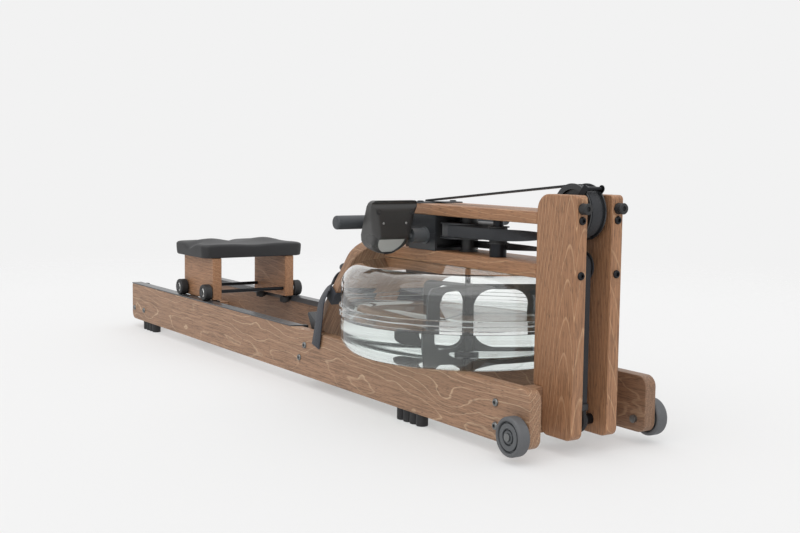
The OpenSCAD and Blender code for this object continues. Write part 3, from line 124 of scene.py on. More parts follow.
def make_piece(name, points, faces, material, body, node=(), sharp=STEEP, uv=None):
    """A mesh object at the origin, smooth but for edges steeper than sharp, that rides on
    a CAD body and stands for the CAD nodes named."""
    mesh = bpy.data.meshes.new(name)
    mesh.from_pydata(np.asarray(points).reshape(-1, 3).tolist(), [], [list(f) for f in faces])
    if uv is not None:
        layer = mesh.uv_layers.new(name="along")
        corner = np.zeros(len(mesh.loops), np.int32)
        mesh.loops.foreach_get("vertex_index", corner)
        layer.data.foreach_set("uv", np.asarray(uv, np.float32).reshape(-1, 2)[corner].ravel())
    mesh.shade_smooth()
    mesh.set_sharp_from_angle(angle=sharp)
    mesh.materials.append(material)
    piece = shown(mesh)
    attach(piece, body)
    if node:
        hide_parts(*([node] if isinstance(node, str) else node))
    return piece


def joined(parts):
    """Several (points, faces) pairs as one pair: each part's faces count on from the last."""
    points, faces, start = [], [], 0
    for part_points, part_faces in parts:
        flat = np.asarray(part_points).reshape(-1, 3)
        points.append(flat)
        faces += [[int(i) + start for i in f] for f in part_faces]
        start += len(flat)
    return np.concatenate(points), faces


print("a grid of 3 rows of 4 points has", len(grid_faces(3, 4, False)), "quads")

# %% Turned shapes
def spokes(axis, steps):
    """Angles round an axis, and a unit direction at each: cos a times one direction across
    the axis plus sin a times the other."""
    across = np.cross(axis, Y_AXIS if abs(axis[1]) < 0.9 else X_AXIS)
    across /= np.linalg.norm(across)
    a = np.linspace(0, 2 * np.pi, steps, endpoint=False)
    return a, np.cos(a)[:, None] * across + np.sin(a)[:, None] * np.cross(axis, across)


def turned(profile, centre, axis, steps=96):
    """A profile of (radius, height) points turned about an axis: point = centre + height
    times the axis + radius times the spoke. A profile that starts and ends on the axis, or
    that returns to its start, gives a closed shape."""
    profile, axis = np.asarray(profile, float), np.asarray(axis, float)
    spoke = spokes(axis, steps)[1]
    points = centre + profile[:, None, 1:] * axis + profile[:, None, :1] * spoke[None]
    return points, grid_faces(len(profile), steps, True).tolist()


def arc(centre, radius, start, end, steps):
    """Points on a circle's arc, from one angle to another, in degrees."""
    a = np.radians(np.linspace(start, end, steps))
    return np.column_stack([centre[0] + radius * np.cos(a), centre[1] + radius * np.sin(a)])


print("a turned disc of 24 spokes has", len(turned([(0, 0), (1, 0)], (0, 0, 0), UP, 24)[1]), "faces")

# %% [markdown]
# ## Rounded boards
# Real boards have their long edges eased with a router, and the light catches that
# rounding. A board here is its outline, carried through the thickness: near each face
# the outline shrinks along a quarter circle, which is the router's cut. One extra ring
# lies flat in each face so that the big face shades perfectly flat.

# %% Outlines with round corners
def rounded_outline(corners, radii, steps=9):
    """Walks round the corners. At each one it leaves the straight edge a tangent length
    early, radius / tan(half the corner's angle), and follows an arc to the next edge."""
    corners = np.asarray(corners, float)
    outline = []
    for i, radius in enumerate(radii):
        p, before, after = corners[i], corners[i - 1], corners[(i + 1) % len(corners)]
        into = (before - p) / np.linalg.norm(before - p)
        away = (after - p) / np.linalg.norm(after - p)
        half = np.arccos(np.clip(into @ away, -1, 1)) / 2
        middle = (into + away) / np.linalg.norm(into + away)
        centre = p + middle * radius / np.sin(half)
        first = p + into * radius / np.tan(half) - centre
        last = p + away * radius / np.tan(half) - centre
        t = np.linspace(0, 1, steps)[:, None]
        swing = 2 * np.arcsin(np.clip(np.linalg.norm(last - first) / 2 / radius, 0, 1))
        outline.append(centre + (np.sin((1 - t) * swing) * first + np.sin(t * swing) * last) / np.sin(swing))
    return np.concatenate(outline)


def outline_normals(outline):
    """Outward unit normals of a closed outline that runs anticlockwise: each is the
    direction of its neighbours' chord, turned right by 90 degrees."""
    chord = np.roll(outline, -1, axis=0) - np.roll(outline, 1, axis=0)
    normal = np.column_stack([chord[:, 1], -chord[:, 0]])
    return normal / np.linalg.norm(normal, axis=1)[:, None]


FACE_RING = 0.0008


def board_shape(outline, low, high, edge, along=X_AXIS, upward=UP, origin=(0.0, 0.0, 0.0)):
    """Points and faces of a board: outline in the plane of along and upward, from low to
    high along their cross product, with both rims rounded by edge. The first and the last
    ring lie in the flat faces, a little inside the rounding."""
    along, upward = np.asarray(along, float), np.asarray(upward, float)
    through = np.cross(along, upward)
    bend = np.radians(np.array([90, 68, 45, 22, 0]))
    inset = edge * (1 - np.cos(bend))
    depth = edge * (1 - np.sin(bend))
    insets = np.concatenate([[edge + FACE_RING], inset, inset[::-1], [edge + FACE_RING]])
    places = np.concatenate([[low], low + depth, high - depth[::-1], [high]])
    rings = outline[None] - insets[:, None, None] * outline_normals(outline)[None]
    points = (np.asarray(origin) + rings[..., :1] * along + rings[..., 1:] * upward
              + places[:, None, None] * through)
    return points, closed_faces(len(insets), len(outline))


def rounded_rectangle(low, high, radius, steps=5):
    """A rectangle's outline between its low and high corners, with four equal roundings."""
    corners = [(low[0], low[1]), (high[0], low[1]), (high[0], high[1]), (low[0], high[1])]
    return rounded_outline(corners, (radius,) * 4, steps)


print("a rounded square has", len(rounded_rectangle((0, 0), (1, 1), 0.1)), "points in its outline")

# %% [markdown]
# ## Wood
# Sawn timber shows the tree's rings. Rings are a distance from the tree's own axis, so
# the material measures that distance from a slightly tilted line below each board. The
# same pattern then makes long lines on one face, arches on another and curves on the end
# grain, as real boards have. A photographed texture would have to be unwrapped and would
# repeat; this pattern is solid, so it never does. Fine fibres and short dark pores lie
# along the grain.

# %% Short names for the steps that build a node tree
def socket(group, name, kind, inward, value=None):
    """Adds a named input or output to a node group, and its default value."""
    item = group.interface.new_socket(name=name, in_out="INPUT" if inward else "OUTPUT", socket_type=kind)
    if value is not None:
        item.default_value = value
    return item


def add_node(tree, kind, **settings):
    """A new node of a tree with its plain settings."""
    node = tree.nodes.new(kind)
    for key, value in settings.items():
        setattr(node, key, value)
    return node


def feed(tree, node, inputs):
    """Fills a node's inputs, by name or number: an output socket is linked, and anything
    else is set as a plain value."""
    for key, value in inputs.items():
        if isinstance(value, bpy.types.NodeSocket):
            tree.links.new(value, node.inputs[key])
        else:
            node.inputs[key].default_value = value


def math_node(tree, operation, *values):
    """A Math node's result; each value is an output socket or a number."""
    node = add_node(tree, "ShaderNodeMath", operation=operation)
    feed(tree, node, dict(enumerate(values)))
    return node.outputs[0]


def stretched_noise(tree, vector, stretch, detail, rough=0.5):
    """Noise whose grains are drawn out: the vector is scaled by stretch before the lookup."""
    scale = add_node(tree, "ShaderNodeVectorMath", operation="MULTIPLY")
    feed(tree, scale, {0: vector, 1: stretch})
    noise = add_node(tree, "ShaderNodeTexNoise")
    feed(tree, noise, {"Scale": 1.0, "Detail": detail, "Roughness": rough, "Vector": scale.outputs[0]})
    return noise


def ramp(tree, value, stops):
    """A Map Range from the first pair of numbers to the second, held at its ends."""
    node = add_node(tree, "ShaderNodeMapRange", interpolation_type="SMOOTHSTEP")
    feed(tree, node, dict(enumerate([value, *stops])))
    return node.outputs[0]


for helper in (socket, add_node, feed, math_node, stretched_noise, ramp):
    print(helper.__name__, "-", helper.__doc__.split(".")[0].replace("\n   ", ""))

# %% A node group for sawn timber
# How many grains of noise fit in a metre, along the board and twice across it.
WANDER_GRAINS, FIBRE_GRAINS = (4.6, 13.0, 13.0), (14.0, 420.0, 420.0)
PORE_GRAINS, PATCH_GRAINS = (55.0, 1100.0, 1100.0), (1.6, 9.0, 9.0)


def timber_group():
    """Rings = (distance from the tree's axis + taper * x) / ring width, bent by slow noise,
    kept as a thin line at the end of each ring; fibres and pores = noise drawn out along
    the grain, which runs in X. The taper turns the lines into arches."""
    group = bpy.data.node_groups.new("sawn_timber", "ShaderNodeTree")
    socket(group, "Vector", "NodeSocketVector", True)
    for name, value in (("Ring width", 0.006), ("Tilt", 0.04), ("Wander", 0.02), ("Taper", 0.03)):
        socket(group, name, "NodeSocketFloat", True, value)
    for name in ("Rings", "Fibres", "Pores", "Patches"):
        socket(group, name, "NodeSocketFloat", False)
    start = add_node(group, "NodeGroupInput")
    end = add_node(group, "NodeGroupOutput")
    vector = start.outputs["Vector"]
    slow = stretched_noise(group, vector, WANDER_GRAINS, 3.0, 0.36)
    shift = add_node(group, "ShaderNodeVectorMath", operation="MULTIPLY_ADD")
    spread = add_node(group, "ShaderNodeCombineXYZ")
    feed(group, spread, dict.fromkeys(range(3), start.outputs["Wander"]))
    feed(group, shift, {0: slow.outputs["Color"], 1: spread.outputs[0], 2: vector})
    parts = add_node(group, "ShaderNodeSeparateXYZ")
    feed(group, parts, {0: shift.outputs[0]})
    x, y, z = parts.outputs
    leaning = math_node(group, "MULTIPLY_ADD", x, start.outputs["Tilt"], z)
    square = math_node(group, "ADD", math_node(group, "MULTIPLY", y, y),
                       math_node(group, "MULTIPLY", leaning, leaning))
    cone = math_node(group, "MULTIPLY_ADD", x, start.outputs["Taper"], math_node(group, "SQRT", square))
    distance = math_node(group, "DIVIDE", cone, start.outputs["Ring width"])
    phase = math_node(group, "FRACT", distance)
    early = ramp(group, phase, (0.84, 0.95, 0.0, 1.0))
    late = ramp(group, phase, (0.95, 1.0, 1.0, 0.0))
    rings = math_node(group, "MULTIPLY", early, late)
    fibres = stretched_noise(group, vector, FIBRE_GRAINS, 3.0, 0.6)
    pores = stretched_noise(group, vector, PORE_GRAINS, 1.0)
    patches = stretched_noise(group, vector, PATCH_GRAINS, 3.0)
    dark_pores = ramp(group, pores.outputs[0], (0.58, 0.70, 0.0, 1.0))
    feed(group, end, {"Rings": rings, "Fibres": fibres.outputs[0], "Pores": dark_pores,
                      "Patches": patches.outputs[0]})
    return group


TIMBER = timber_group()
print("timber group outputs:", [s.name for s in TIMBER.interface.items_tree if s.in_out == "OUTPUT"])

# %% Steps that every finish shares
def blank_material(name):
    """A material with a Principled BSDF and its output, and their tree."""
    material = bpy.data.materials.new(name)
    material.use_nodes = True
    tree = material.node_tree
    return material, tree, tree.nodes["Principled BSDF"]


def object_coordinates(tree, turn=(0, 0, 0), shift=(0, 0, 0)):
    """Object coordinates through a Mapping node that turns and centres the pattern."""
    source = add_node(tree, "ShaderNodeTexCoord")
    mapping = add_node(tree, "ShaderNodeMapping", vector_type="POINT")
    feed(tree, mapping, {"Rotation": turn, "Location": shift, "Vector": source.outputs["Object"]})
    return mapping.outputs[0]


def blend_colours(tree, factor, first, second):
    """Mix of two colours, or of a socket and a colour, by a factor socket."""
    node = add_node(tree, "ShaderNodeMix", data_type="RGBA")
    first, second = ((*c, 1.0) if isinstance(c, tuple) else c for c in (first, second))
    feed(tree, node, {6: first, 7: second, 0: factor})
    return node.outputs[2]


def darker(colour, share):
    """A colour with its red, green and blue times a share."""
    return tuple(c * share for c in colour)


def bump(tree, height, distance, strength):
    """The normal of a Bump node whose height of 1 stands for a distance in metres."""
    node = add_node(tree, "ShaderNodeBump")
    feed(tree, node, {"Strength": strength, "Distance": distance, "Height": height})
    return node.outputs[0]


print("a body tone at half its light:", darker((0.4, 0.2, 0.1), 0.5))

# %% A wood finish
FIBRE_SHADE, PATCH_SHADE, PORE_SHADE, GRAIN_RELIEF = 0.42, 0.8, 0.25, 0.00025


def wood(name, tones, turn, shift, ring, tilt, wander=0.026, taper=0.05):
    """Stained, oiled timber: a brown body that the fibres darken, thin pale ring lines,
    dark pores, and a satin surface that the fibres roughen."""
    body, line = tones
    material, tree, shader = blank_material(name)
    timber = add_node(tree, "ShaderNodeGroup", node_tree=TIMBER)
    feed(tree, timber, {"Vector": object_coordinates(tree, turn, shift), "Ring width": ring,
                        "Tilt": tilt, "Wander": wander, "Taper": taper})
    fibres = ramp(tree, timber.outputs["Fibres"], (0.36, 0.70, 0.0, 0.9))
    patches = ramp(tree, timber.outputs["Patches"], (0.35, 0.7, 0.0, 0.7))
    tone = blend_colours(tree, fibres, body, darker(body, FIBRE_SHADE))
    tone = blend_colours(tree, patches, tone, darker(body, PATCH_SHADE))
    clear_of_patches = ramp(tree, timber.outputs["Patches"], (0.34, 0.58, 0.3, 1.0))
    clear_of_fibres = math_node(tree, "MULTIPLY_ADD", timber.outputs["Fibres"], -0.5, 0.95)
    shown = math_node(tree, "MULTIPLY", clear_of_patches, clear_of_fibres)
    tone = blend_colours(tree, math_node(tree, "MULTIPLY", timber.outputs["Rings"], shown), tone, line)
    pores = math_node(tree, "MULTIPLY", timber.outputs["Pores"], 0.8)
    tone = blend_colours(tree, pores, tone, darker(body, PORE_SHADE))
    roughness = math_node(tree, "MULTIPLY_ADD", timber.outputs["Fibres"], 0.25, 0.36)
    height = math_node(tree, "MULTIPLY_ADD", timber.outputs["Pores"], -1.0, timber.outputs["Fibres"])
    feed(tree, shader, {"Base Color": tone, "Roughness": roughness, "Specular IOR Level": 0.42,
                        "Normal": bump(tree, height, GRAIN_RELIEF, 0.6)})
    return material


print("timber shades:", FIBRE_SHADE, "fibres,", PATCH_SHADE, "patches,", PORE_SHADE, "pores")

# %% Wood for each board
LYING, STANDING, ACROSS = (0.0, 0.0, 0.0), (0.0, np.pi / 2, 0.0), (0.0, 0.0, np.pi / 2)
SLOPE = np.radians(52)
RAIL_TONES = (0.385, 0.220, 0.130), (0.62, 0.44, 0.29)
# The left rail's tones are darker than the right rail's: partly a darker board, mostly painted shade, because
# that rail's inner face is seen in shadow.
DARK_BOARD_AND_SHADE_TONES = (0.280, 0.160, 0.097), (0.40, 0.260, 0.165)
POST_TONES = (0.425, 0.217, 0.113), (0.56, 0.345, 0.20)
right_rail_wood = wood("wood_right_rail", RAIL_TONES, LYING, (0.3, 0.055, -0.085),
                       ring=0.0098, tilt=0.01, wander=0.060, taper=0.0)
# The left rail's wood carries painted shade in its darker tones.
left_rail_wood_with_painted_shade = wood("wood_left_rail_with_painted_shade", DARK_BOARD_AND_SHADE_TONES, LYING, (1.3, -0.05, -0.07),
                      ring=0.0098, tilt=-0.02, wander=0.060, taper=0.0)
right_post_wood = wood("wood_right_upright", POST_TONES, STANDING, (0.4, 0.030, 0.975),
                       ring=0.0092, tilt=0.03, wander=0.018, taper=0.12)
left_post_wood = wood("wood_left_upright", POST_TONES, STANDING, (1.9, -0.010, 0.965),
                      ring=0.0092, tilt=-0.03, wander=0.018, taper=0.10)
deck_wood = wood("wood_decks", POST_TONES, LYING, (0.1, 0.02, -0.40), ring=0.0105, tilt=0.02)
board_wood = wood("wood_footboard", RAIL_TONES, (0.0, SLOPE, 0.0), (0.2, 0.03, 0.0), ring=0.0125, tilt=0.02)
cross_wood = wood("wood_across", RAIL_TONES, ACROSS, (0.6, 0.2, 0.06), ring=0.011, tilt=0.03)
seat_wood = wood("wood_seat_blocks", POST_TONES, LYING, (0.5, 0.13, -0.14), ring=0.0105, tilt=0.04)
print("wood finishes:", [m.name for m in bpy.data.materials if m.name.startswith("wood_")])

# %% [markdown]
# ## The rails, the uprights and the cross boards
# Each rail is one long plank with big round front corners. Two uprights carry the strap
# drive, and two boards tie the rails together. The CAD solids could be shown as they
# are, but their edges are knife sharp. So each outline comes from the box of the CAD
# node, which keeps it from drifting off the solid, and only the eased edges are new.

# %% Rails and uprights
EASE = 0.0025
RAIL_ROUNDINGS = (0.022, 0.022, 0.022, 0.005)
POST_ROUNDINGS = (0.016, 0.016, 0.009, 0.032, 0.004, 0.004)


def box_arrays(node):
    """A CAD node's lowest and highest corners as arrays, in metres."""
    low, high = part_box(node)
    return np.array(low), np.array(high)


def upright_board(name, node, radii, material, corners=None):
    """A board that stands in the X-Z plane, as thick as its CAD node in Y."""
    low, high = box_arrays(node)
    if corners is None:
        corners = [(low[0], low[2]), (high[0], low[2]), (high[0], high[2]), (low[0], high[2])]
    shape = board_shape(rounded_outline(corners, radii), -high[1], -low[1], EASE)
    return make_piece(name, *shape, material, "frame", node)


upright_board("right_rail_plank", "right_rail", RAIL_ROUNDINGS, right_rail_wood)
upright_board("left_rail_plank", "left_rail", RAIL_ROUNDINGS, left_rail_wood_with_painted_shade)
cross_low, cross_high = box_arrays("cross_boards")
for side, material in (("right", right_post_wood), ("left", left_post_wood)):
    low, high = box_arrays(side + "_upright")
    notched = [(cross_high[0], low[2]), (high[0], low[2]), (high[0], high[2]), (low[0], high[2]),
               (low[0], cross_high[2]), (cross_high[0], cross_high[2])]
    upright_board(side + "_upright_plank", side + "_upright", POST_ROUNDINGS, material, notched)

# %% Cross boards, the front one with a slot for the elastic cord
PLANK, SMALL_ROUNDING, SLOT_EASE = 0.028, 0.004, 0.0015
REAR_BOARD_WIDTH, REAR_BOARD_FOOT = 0.112, 0.048
SLOT_HALF, SLOT_TOP = 0.009, cross_low[2] + 0.017
rear_outline = rounded_rectangle(cross_low, (cross_low[0] + REAR_BOARD_WIDTH, cross_high[1]), SMALL_ROUNDING)
rear_shape = board_shape(rear_outline, REAR_BOARD_FOOT, REAR_BOARD_FOOT + PLANK, EASE, X_AXIS, Y_AXIS)
front_corners = [(cross_low[1], cross_low[2]), (-SLOT_HALF, cross_low[2]), (-SLOT_HALF, SLOT_TOP),
                 (SLOT_HALF, SLOT_TOP), (SLOT_HALF, cross_low[2]), (cross_high[1], cross_low[2]),
                 (cross_high[1], cross_high[2]), (cross_low[1], cross_high[2])]
front_outline = rounded_outline(front_corners, (SMALL_ROUNDING,) * 8, 5)
front_shape = board_shape(front_outline, cross_high[0] - PLANK, cross_high[0], SLOT_EASE, Y_AXIS, UP)
make_piece("cross_board_pair", *joined([rear_shape, front_shape]), cross_wood, "frame", "cross_boards")
print("cross boards:", round(cross_high[1] - cross_low[1], 3), "m wide")

# %% [markdown]
# ## Decks, footboard and seat blocks
# The two decks are flat boards between the uprights. The lower one ends in a mitre that
# rests on the sloping footboard, which has shoulders over the rails and a rounded head.
# A Bevel modifier could ease their edges, but on an outline with arcs it leaves uneven
# strips; the board's own rounding stays even all the way round.

# %% Decks
low, high = box_arrays("upper_deck")
deck_shape = board_shape(rounded_rectangle(low, high, SMALL_ROUNDING), low[2], high[2], EASE, X_AXIS, Y_AXIS)
make_piece("upper_deck_board", *deck_shape, deck_wood, "frame", "upper_deck")
low, high = box_arrays("lower_deck")
mitre = (high[2] - low[2]) / np.tan(SLOPE)
upright_board("lower_deck_board", "lower_deck", (SMALL_ROUNDING,) * 4, deck_wood,
              [(low[0], low[2]), (high[0], low[2]), (high[0], high[2]), (low[0] + mitre, high[2])])

# %% Footboard
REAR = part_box("right_rail")[0].x
BOARD_PLACE = np.array([REAR + 1.1866, 0.0, 0.0865])
UP_BOARD = np.array([np.cos(SLOPE), 0.0, np.sin(SLOPE)])
OFF_BOARD = np.array([-np.sin(SLOPE), 0.0, np.cos(SLOPE)])
BOARD_HALF_THICKNESS, BOARD_EASE = 0.013, 0.003
BOARD_FOOT, SHOULDER, HEAD = -0.05, 0.0810, 0.3623
FOOT_HALF, SHOULDER_HALF, HEAD_HALF = 0.1335, 0.150, 0.138
board_outline = rounded_outline([(BOARD_FOOT, -FOOT_HALF), (SHOULDER, -FOOT_HALF), (SHOULDER, -SHOULDER_HALF),
                                 (HEAD, -HEAD_HALF), (HEAD, HEAD_HALF), (SHOULDER, SHOULDER_HALF),
                                 (SHOULDER, FOOT_HALF), (BOARD_FOOT, FOOT_HALF)],
                                (0.005, 0.004, 0.006, 0.058, 0.058, 0.006, 0.004, 0.005), 13)
board = board_shape(board_outline, -BOARD_HALF_THICKNESS, BOARD_HALF_THICKNESS, BOARD_EASE,
                    UP_BOARD, Y_AXIS, BOARD_PLACE)
make_piece("footboard_plank", *board, board_wood, "frame", "footboard")
print("footboard:", round(HEAD - BOARD_FOOT, 3), "m long, at", round(np.degrees(SLOPE)), "degrees")

# %% Seat blocks
low, high = box_arrays("seat_blocks")
block_outline = rounded_rectangle(low[[0, 2]], high[[0, 2]], SMALL_ROUNDING)
blocks = [board_shape(block_outline, y, y + PLANK, EASE) for y in (-high[1], high[1] - PLANK)]
make_piece("seat_block_pair", *joined(blocks), seat_wood, "seat", "seat_blocks")

# %% [markdown]
# ## Plastic, rubber and metal
# Dark mouldings are never one flat colour. Fine grain breaks their highlights, large soft
# patches shift their gloss, and wear lightens them a little. Each finish could have its
# own noise nodes, but one node group gives those three masks once, and each finish uses
# them with its own strengths.

# %% A node group for moulded surfaces
PATCHES_PER_METRE, DUST_PER_METRE = (14.0, 14.0, 14.0), (160.0, 160.0, 160.0)


def moulded_group():
    """Grain = fine noise of the mould's texture; Patches = slow noise; Dust = the same
    slow noise with fine noise over it, kept where both are high."""
    group = bpy.data.node_groups.new("moulded_surface", "ShaderNodeTree")
    socket(group, "Vector", "NodeSocketVector", True)
    socket(group, "Grain size", "NodeSocketFloat", True, 900.0)
    for name in ("Grain", "Patches", "Dust"):
        socket(group, name, "NodeSocketFloat", False)
    start = add_node(group, "NodeGroupInput")
    end = add_node(group, "NodeGroupOutput")
    size = add_node(group, "ShaderNodeVectorMath", operation="SCALE")
    feed(group, size, {0: start.outputs["Vector"], "Scale": start.outputs["Grain size"]})
    grain = stretched_noise(group, size.outputs[0], (1.0, 1.0, 1.0), 2.0)
    patches = stretched_noise(group, start.outputs["Vector"], PATCHES_PER_METRE, 3.0)
    fine = stretched_noise(group, start.outputs["Vector"], DUST_PER_METRE, 4.0, 0.65)
    dust = math_node(group, "MULTIPLY", ramp(group, patches.outputs[0], (0.45, 0.75, 0.0, 1.0)),
                     ramp(group, fine.outputs[0], (0.5, 0.7, 0.0, 1.0)))
    feed(group, end, {"Grain": grain.outputs[0], "Patches": patches.outputs[0], "Dust": dust})
    return group


MOULDED = moulded_group()
print("moulded group outputs:", [s.name for s in MOULDED.interface.items_tree if s.in_out == "OUTPUT"])

# %% Moulded, painted and bare metal finishes
def moulded(name, colour, roughness, grain_size=900.0, grain_height=0.00006, dust=0.25, metallic=0.0):
    """A moulded, painted or metal finish: its colour lightened by dust, its roughness moved
    by the slow patches, and a fine grain in its normal."""
    material, tree, shader = blank_material(name)
    masks = add_node(tree, "ShaderNodeGroup", node_tree=MOULDED)
    feed(tree, masks, {"Vector": object_coordinates(tree), "Grain size": grain_size})
    pale = tuple(min(1.0, c * 1.7 + 0.012) for c in colour)
    patches = ramp(tree, masks.outputs["Patches"], (0.3, 0.7, 0.0, 0.4))
    tone = blend_colours(tree, patches, colour, darker(colour, PATCH_SHADE))
    amount = math_node(tree, "MULTIPLY", masks.outputs["Dust"], dust)
    tone = blend_colours(tree, amount, tone, pale)
    uneven = math_node(tree, "MULTIPLY_ADD", masks.outputs["Patches"], 0.16, roughness - 0.08)
    feed(tree, shader, {"Base Color": tone, "Roughness": uneven, "Metallic": metallic,
                        "Normal": bump(tree, masks.outputs["Grain"], grain_height, 0.7)})
    return material


black_moulding = moulded("black_moulding", (0.024, 0.026, 0.029), 0.38)
black_rubber = moulded("black_rubber", (0.016, 0.016, 0.017), 0.62, 1400.0, 0.00008)
tyre_rubber = moulded("grey_tyre_rubber", (0.105, 0.108, 0.114), 0.6, 1100.0, 0.0001, 0.4)
hub_moulding = moulded("grey_hub_moulding", (0.092, 0.098, 0.104), 0.34)
black_steel = moulded("black_oxide_steel", (0.022, 0.023, 0.026), 0.34, 1500.0, 0.00003, 0.2, 0.85)
worn_steel = moulded("worn_bolt_steel", (0.20, 0.205, 0.205), 0.30, 1500.0, 0.00003, 0.2, 0.85)
bright_steel = moulded("brushed_steel_hub", (0.55, 0.55, 0.54), 0.28, 1800.0, 0.00002, 0.1, 1.0)
grip_rubber = moulded("handle_grip_rubber", (0.052, 0.056, 0.062), 0.55, 2200.0, 0.00012)
shell_moulding = moulded("monitor_shell_moulding", (0.040, 0.039, 0.038), 0.30, 1600.0, 0.00005, 0.15)
track_moulding = moulded("satin_track_moulding", (0.060, 0.062, 0.066), 0.30, 1200.0, 0.00002, 0.1)
pale_moulding = moulded("pale_moulding", (0.50, 0.50, 0.48), 0.5)
seal_rubber = moulded("tank_seal_rubber", (0.42, 0.44, 0.44), 0.4)
paddle_moulding = moulded("paddle_moulding", (0.060, 0.064, 0.064), 0.42, 700.0, 0.00005)
print("moulded finishes:", len([m for m in bpy.data.materials if "moulding" in m.name or "rubber" in m.name]))

# %% Finishes for the solids that keep their own shape
def dress(material, *names):
    """Gives CAD nodes a finish through their own material slots."""
    for name in names:
        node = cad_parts[name]
        for slot in node.material_slots:
            slot.material = material
        if not node.material_slots:
            node.data.materials.append(material)


dress(black_moulding, "deck_bracket", "handle_rest", "shaft_bearings", "drive_drum", "top_pulley",
      "lower_pulley", "cord_roller")
dress(hub_moulding, "monitor_arm")
dress(track_moulding, "seat_tracks")
dress(black_rubber, "guide_roller", "track_stops", "right_front_guide", "right_rear_guide",
      "left_front_guide", "left_rear_guide")
dress(black_steel, "strap_guard", "seat_axles", "paddle_shaft", "roller_pins")
dress(shell_moulding, "monitor_case")
dress(pale_moulding, "monitor_screen", "left_button", "middle_button", "right_button")
dress(seal_rubber, "tank_seals")
dress(paddle_moulding, "paddle_blades")
dress(seat_wood, "handle_core")
print("handle core dressed in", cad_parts["handle_core"].material_slots[0].material.name)

# %% [markdown]
# ## The tank and its water
# The tank is two clear bowls of polycarbonate with a flange between them. Light bends at
# each of the wall's faces, so each bowl is turned as one closed wall with an inside and
# an outside; a single skin would bend it like a solid block. The water is its own solid
# with water's own refraction, and it reaches a hair into the wall, as wet surfaces do, so
# that no film of air shows between them.

# %% Clear finishes
def clear(name, colour, ior):
    """A clear solid: real transmission for the camera, but shadow rays pass straight
    through, because light that is bent inside the tank would take too long to find."""
    material, tree, shader = blank_material(name)
    feed(tree, shader, {"Base Color": (*colour, 1.0), "Roughness": 0.0, "IOR": ior,
                        "Transmission Weight": 1.0})
    path = add_node(tree, "ShaderNodeLightPath")
    through = add_node(tree, "ShaderNodeBsdfTransparent")
    feed(tree, through, {"Color": (*[0.5 + 0.5 * c for c in colour], 1.0)})
    mix = add_node(tree, "ShaderNodeMixShader")
    straight = math_node(tree, "MAXIMUM", path.outputs["Is Shadow Ray"], path.outputs["Is Diffuse Ray"])
    feed(tree, mix, {0: straight, 1: shader.outputs[0], 2: through.outputs[0]})
    feed(tree, tree.nodes["Material Output"], {"Surface": mix.outputs[0]})
    return material


clear_wall = clear("clear_polycarbonate", (0.97, 0.985, 0.98), 1.5)
clear_water = clear("still_water", (0.84, 0.875, 0.86), 1.333)
print("clear finishes:", clear_wall.name, clear_water.name)

# %% Pieces whose poles and seams are closed
def weld(piece, distance=1e-6):
    """Merges points that lie on each other, which closes poles and seams."""
    shell = bmesh.new()
    shell.from_mesh(piece.data)
    bmesh.ops.remove_doubles(shell, verts=shell.verts, dist=distance)
    shell.to_mesh(piece.data)
    shell.free()
    return piece


def welded_piece(name, shape, material, body, node=(), sharp=STEEP):
    """A piece from points and faces, with its poles and seams closed after it is made."""
    piece = weld(make_piece(name, *shape, material, body, node, sharp))
    piece.data.shade_smooth()
    piece.data.set_sharp_from_angle(angle=sharp)
    return piece


print("points closer than a thousandth of a millimetre are merged")

# %% Bowls and water
tank_low, tank_high = box_arrays("tank_lower_shell")
lid_low, lid_high = box_arrays("tank_upper_shell")
water_high = box_arrays("tank_water")[1]
TANK_CENTRE = np.array([(tank_low[0] + tank_high[0]) / 2, 0.0, 0.0])
TANK_R, FLANGE_R, WALL, FLANGE = 0.280, (tank_high[0] - tank_low[0]) / 2, 0.003, 0.0098
LOWER_CORNER, UPPER_CORNER, CORNER_STEPS, TANK_STEPS = 0.044, 0.050, 22, 192
JOINT, BASE, TOP = tank_high[2], tank_low[2], lid_high[2]
WET = 0.0006


def bowl_profile(floor, rim, way, corner):
    """Half section of a bowl from its floor at the axis, out along the outside, round the
    corner, over the flange and back down the inside. way is 1 for a bowl that opens up."""
    flange = rim - way * FLANGE
    bend_centre = (TANK_R - corner, corner)
    outer = [(0.0, floor)]
    outer += [(r, floor + way * z) for r, z in arc(bend_centre, corner, -90, 0, CORNER_STEPS)]
    outer += [(TANK_R, flange - way * 0.002), (TANK_R + 0.001, flange), (FLANGE_R - 0.0008, flange),
              (FLANGE_R, flange + way * 0.0008), (FLANGE_R, rim - way * 0.0006), (FLANGE_R - 0.0006, rim)]
    inner = [(TANK_R - WALL, rim)]
    inner += [(r, floor + way * z) for r, z in arc(bend_centre, corner - WALL, 0, -90, CORNER_STEPS)]
    inner += [(0.0, floor + way * WALL)]
    profile = np.array(outer + inner)
    return profile if way > 0 else profile[::-1]


def water_profile(surface):
    """Half section of the water: the lower bowl's inside plus the hair by which it wets the
    wall, and a surface that climbs the wall a little."""
    reach, floor, bend = TANK_R - WALL + WET, BASE + WALL - WET, LOWER_CORNER - WALL
    profile = [(0.0, floor)]
    profile += [(r, floor + z) for r, z in arc((reach - bend, bend), bend, -90, 0, CORNER_STEPS)]
    return profile + [(reach, surface + 0.0012), (reach - 0.0015, surface + 0.0004),
                      (reach - 0.005, surface), (0.0, surface)]


for name, profile, finish, node in (
        ("tank_lower_bowl", bowl_profile(BASE, JOINT, 1, LOWER_CORNER), clear_wall, "tank_lower_shell"),
        ("tank_upper_bowl", bowl_profile(TOP, lid_low[2], -1, UPPER_CORNER), clear_wall, "tank_upper_shell"),
        ("tank_water_body", water_profile(water_high[2]), clear_water, "tank_water")):
    welded_piece(name, turned(profile, TANK_CENTRE, UP, TANK_STEPS), finish, "frame", node)
print("tank:", round(2 * FLANGE_R, 3), "m across, water to", round(water_high[2], 3), "m")

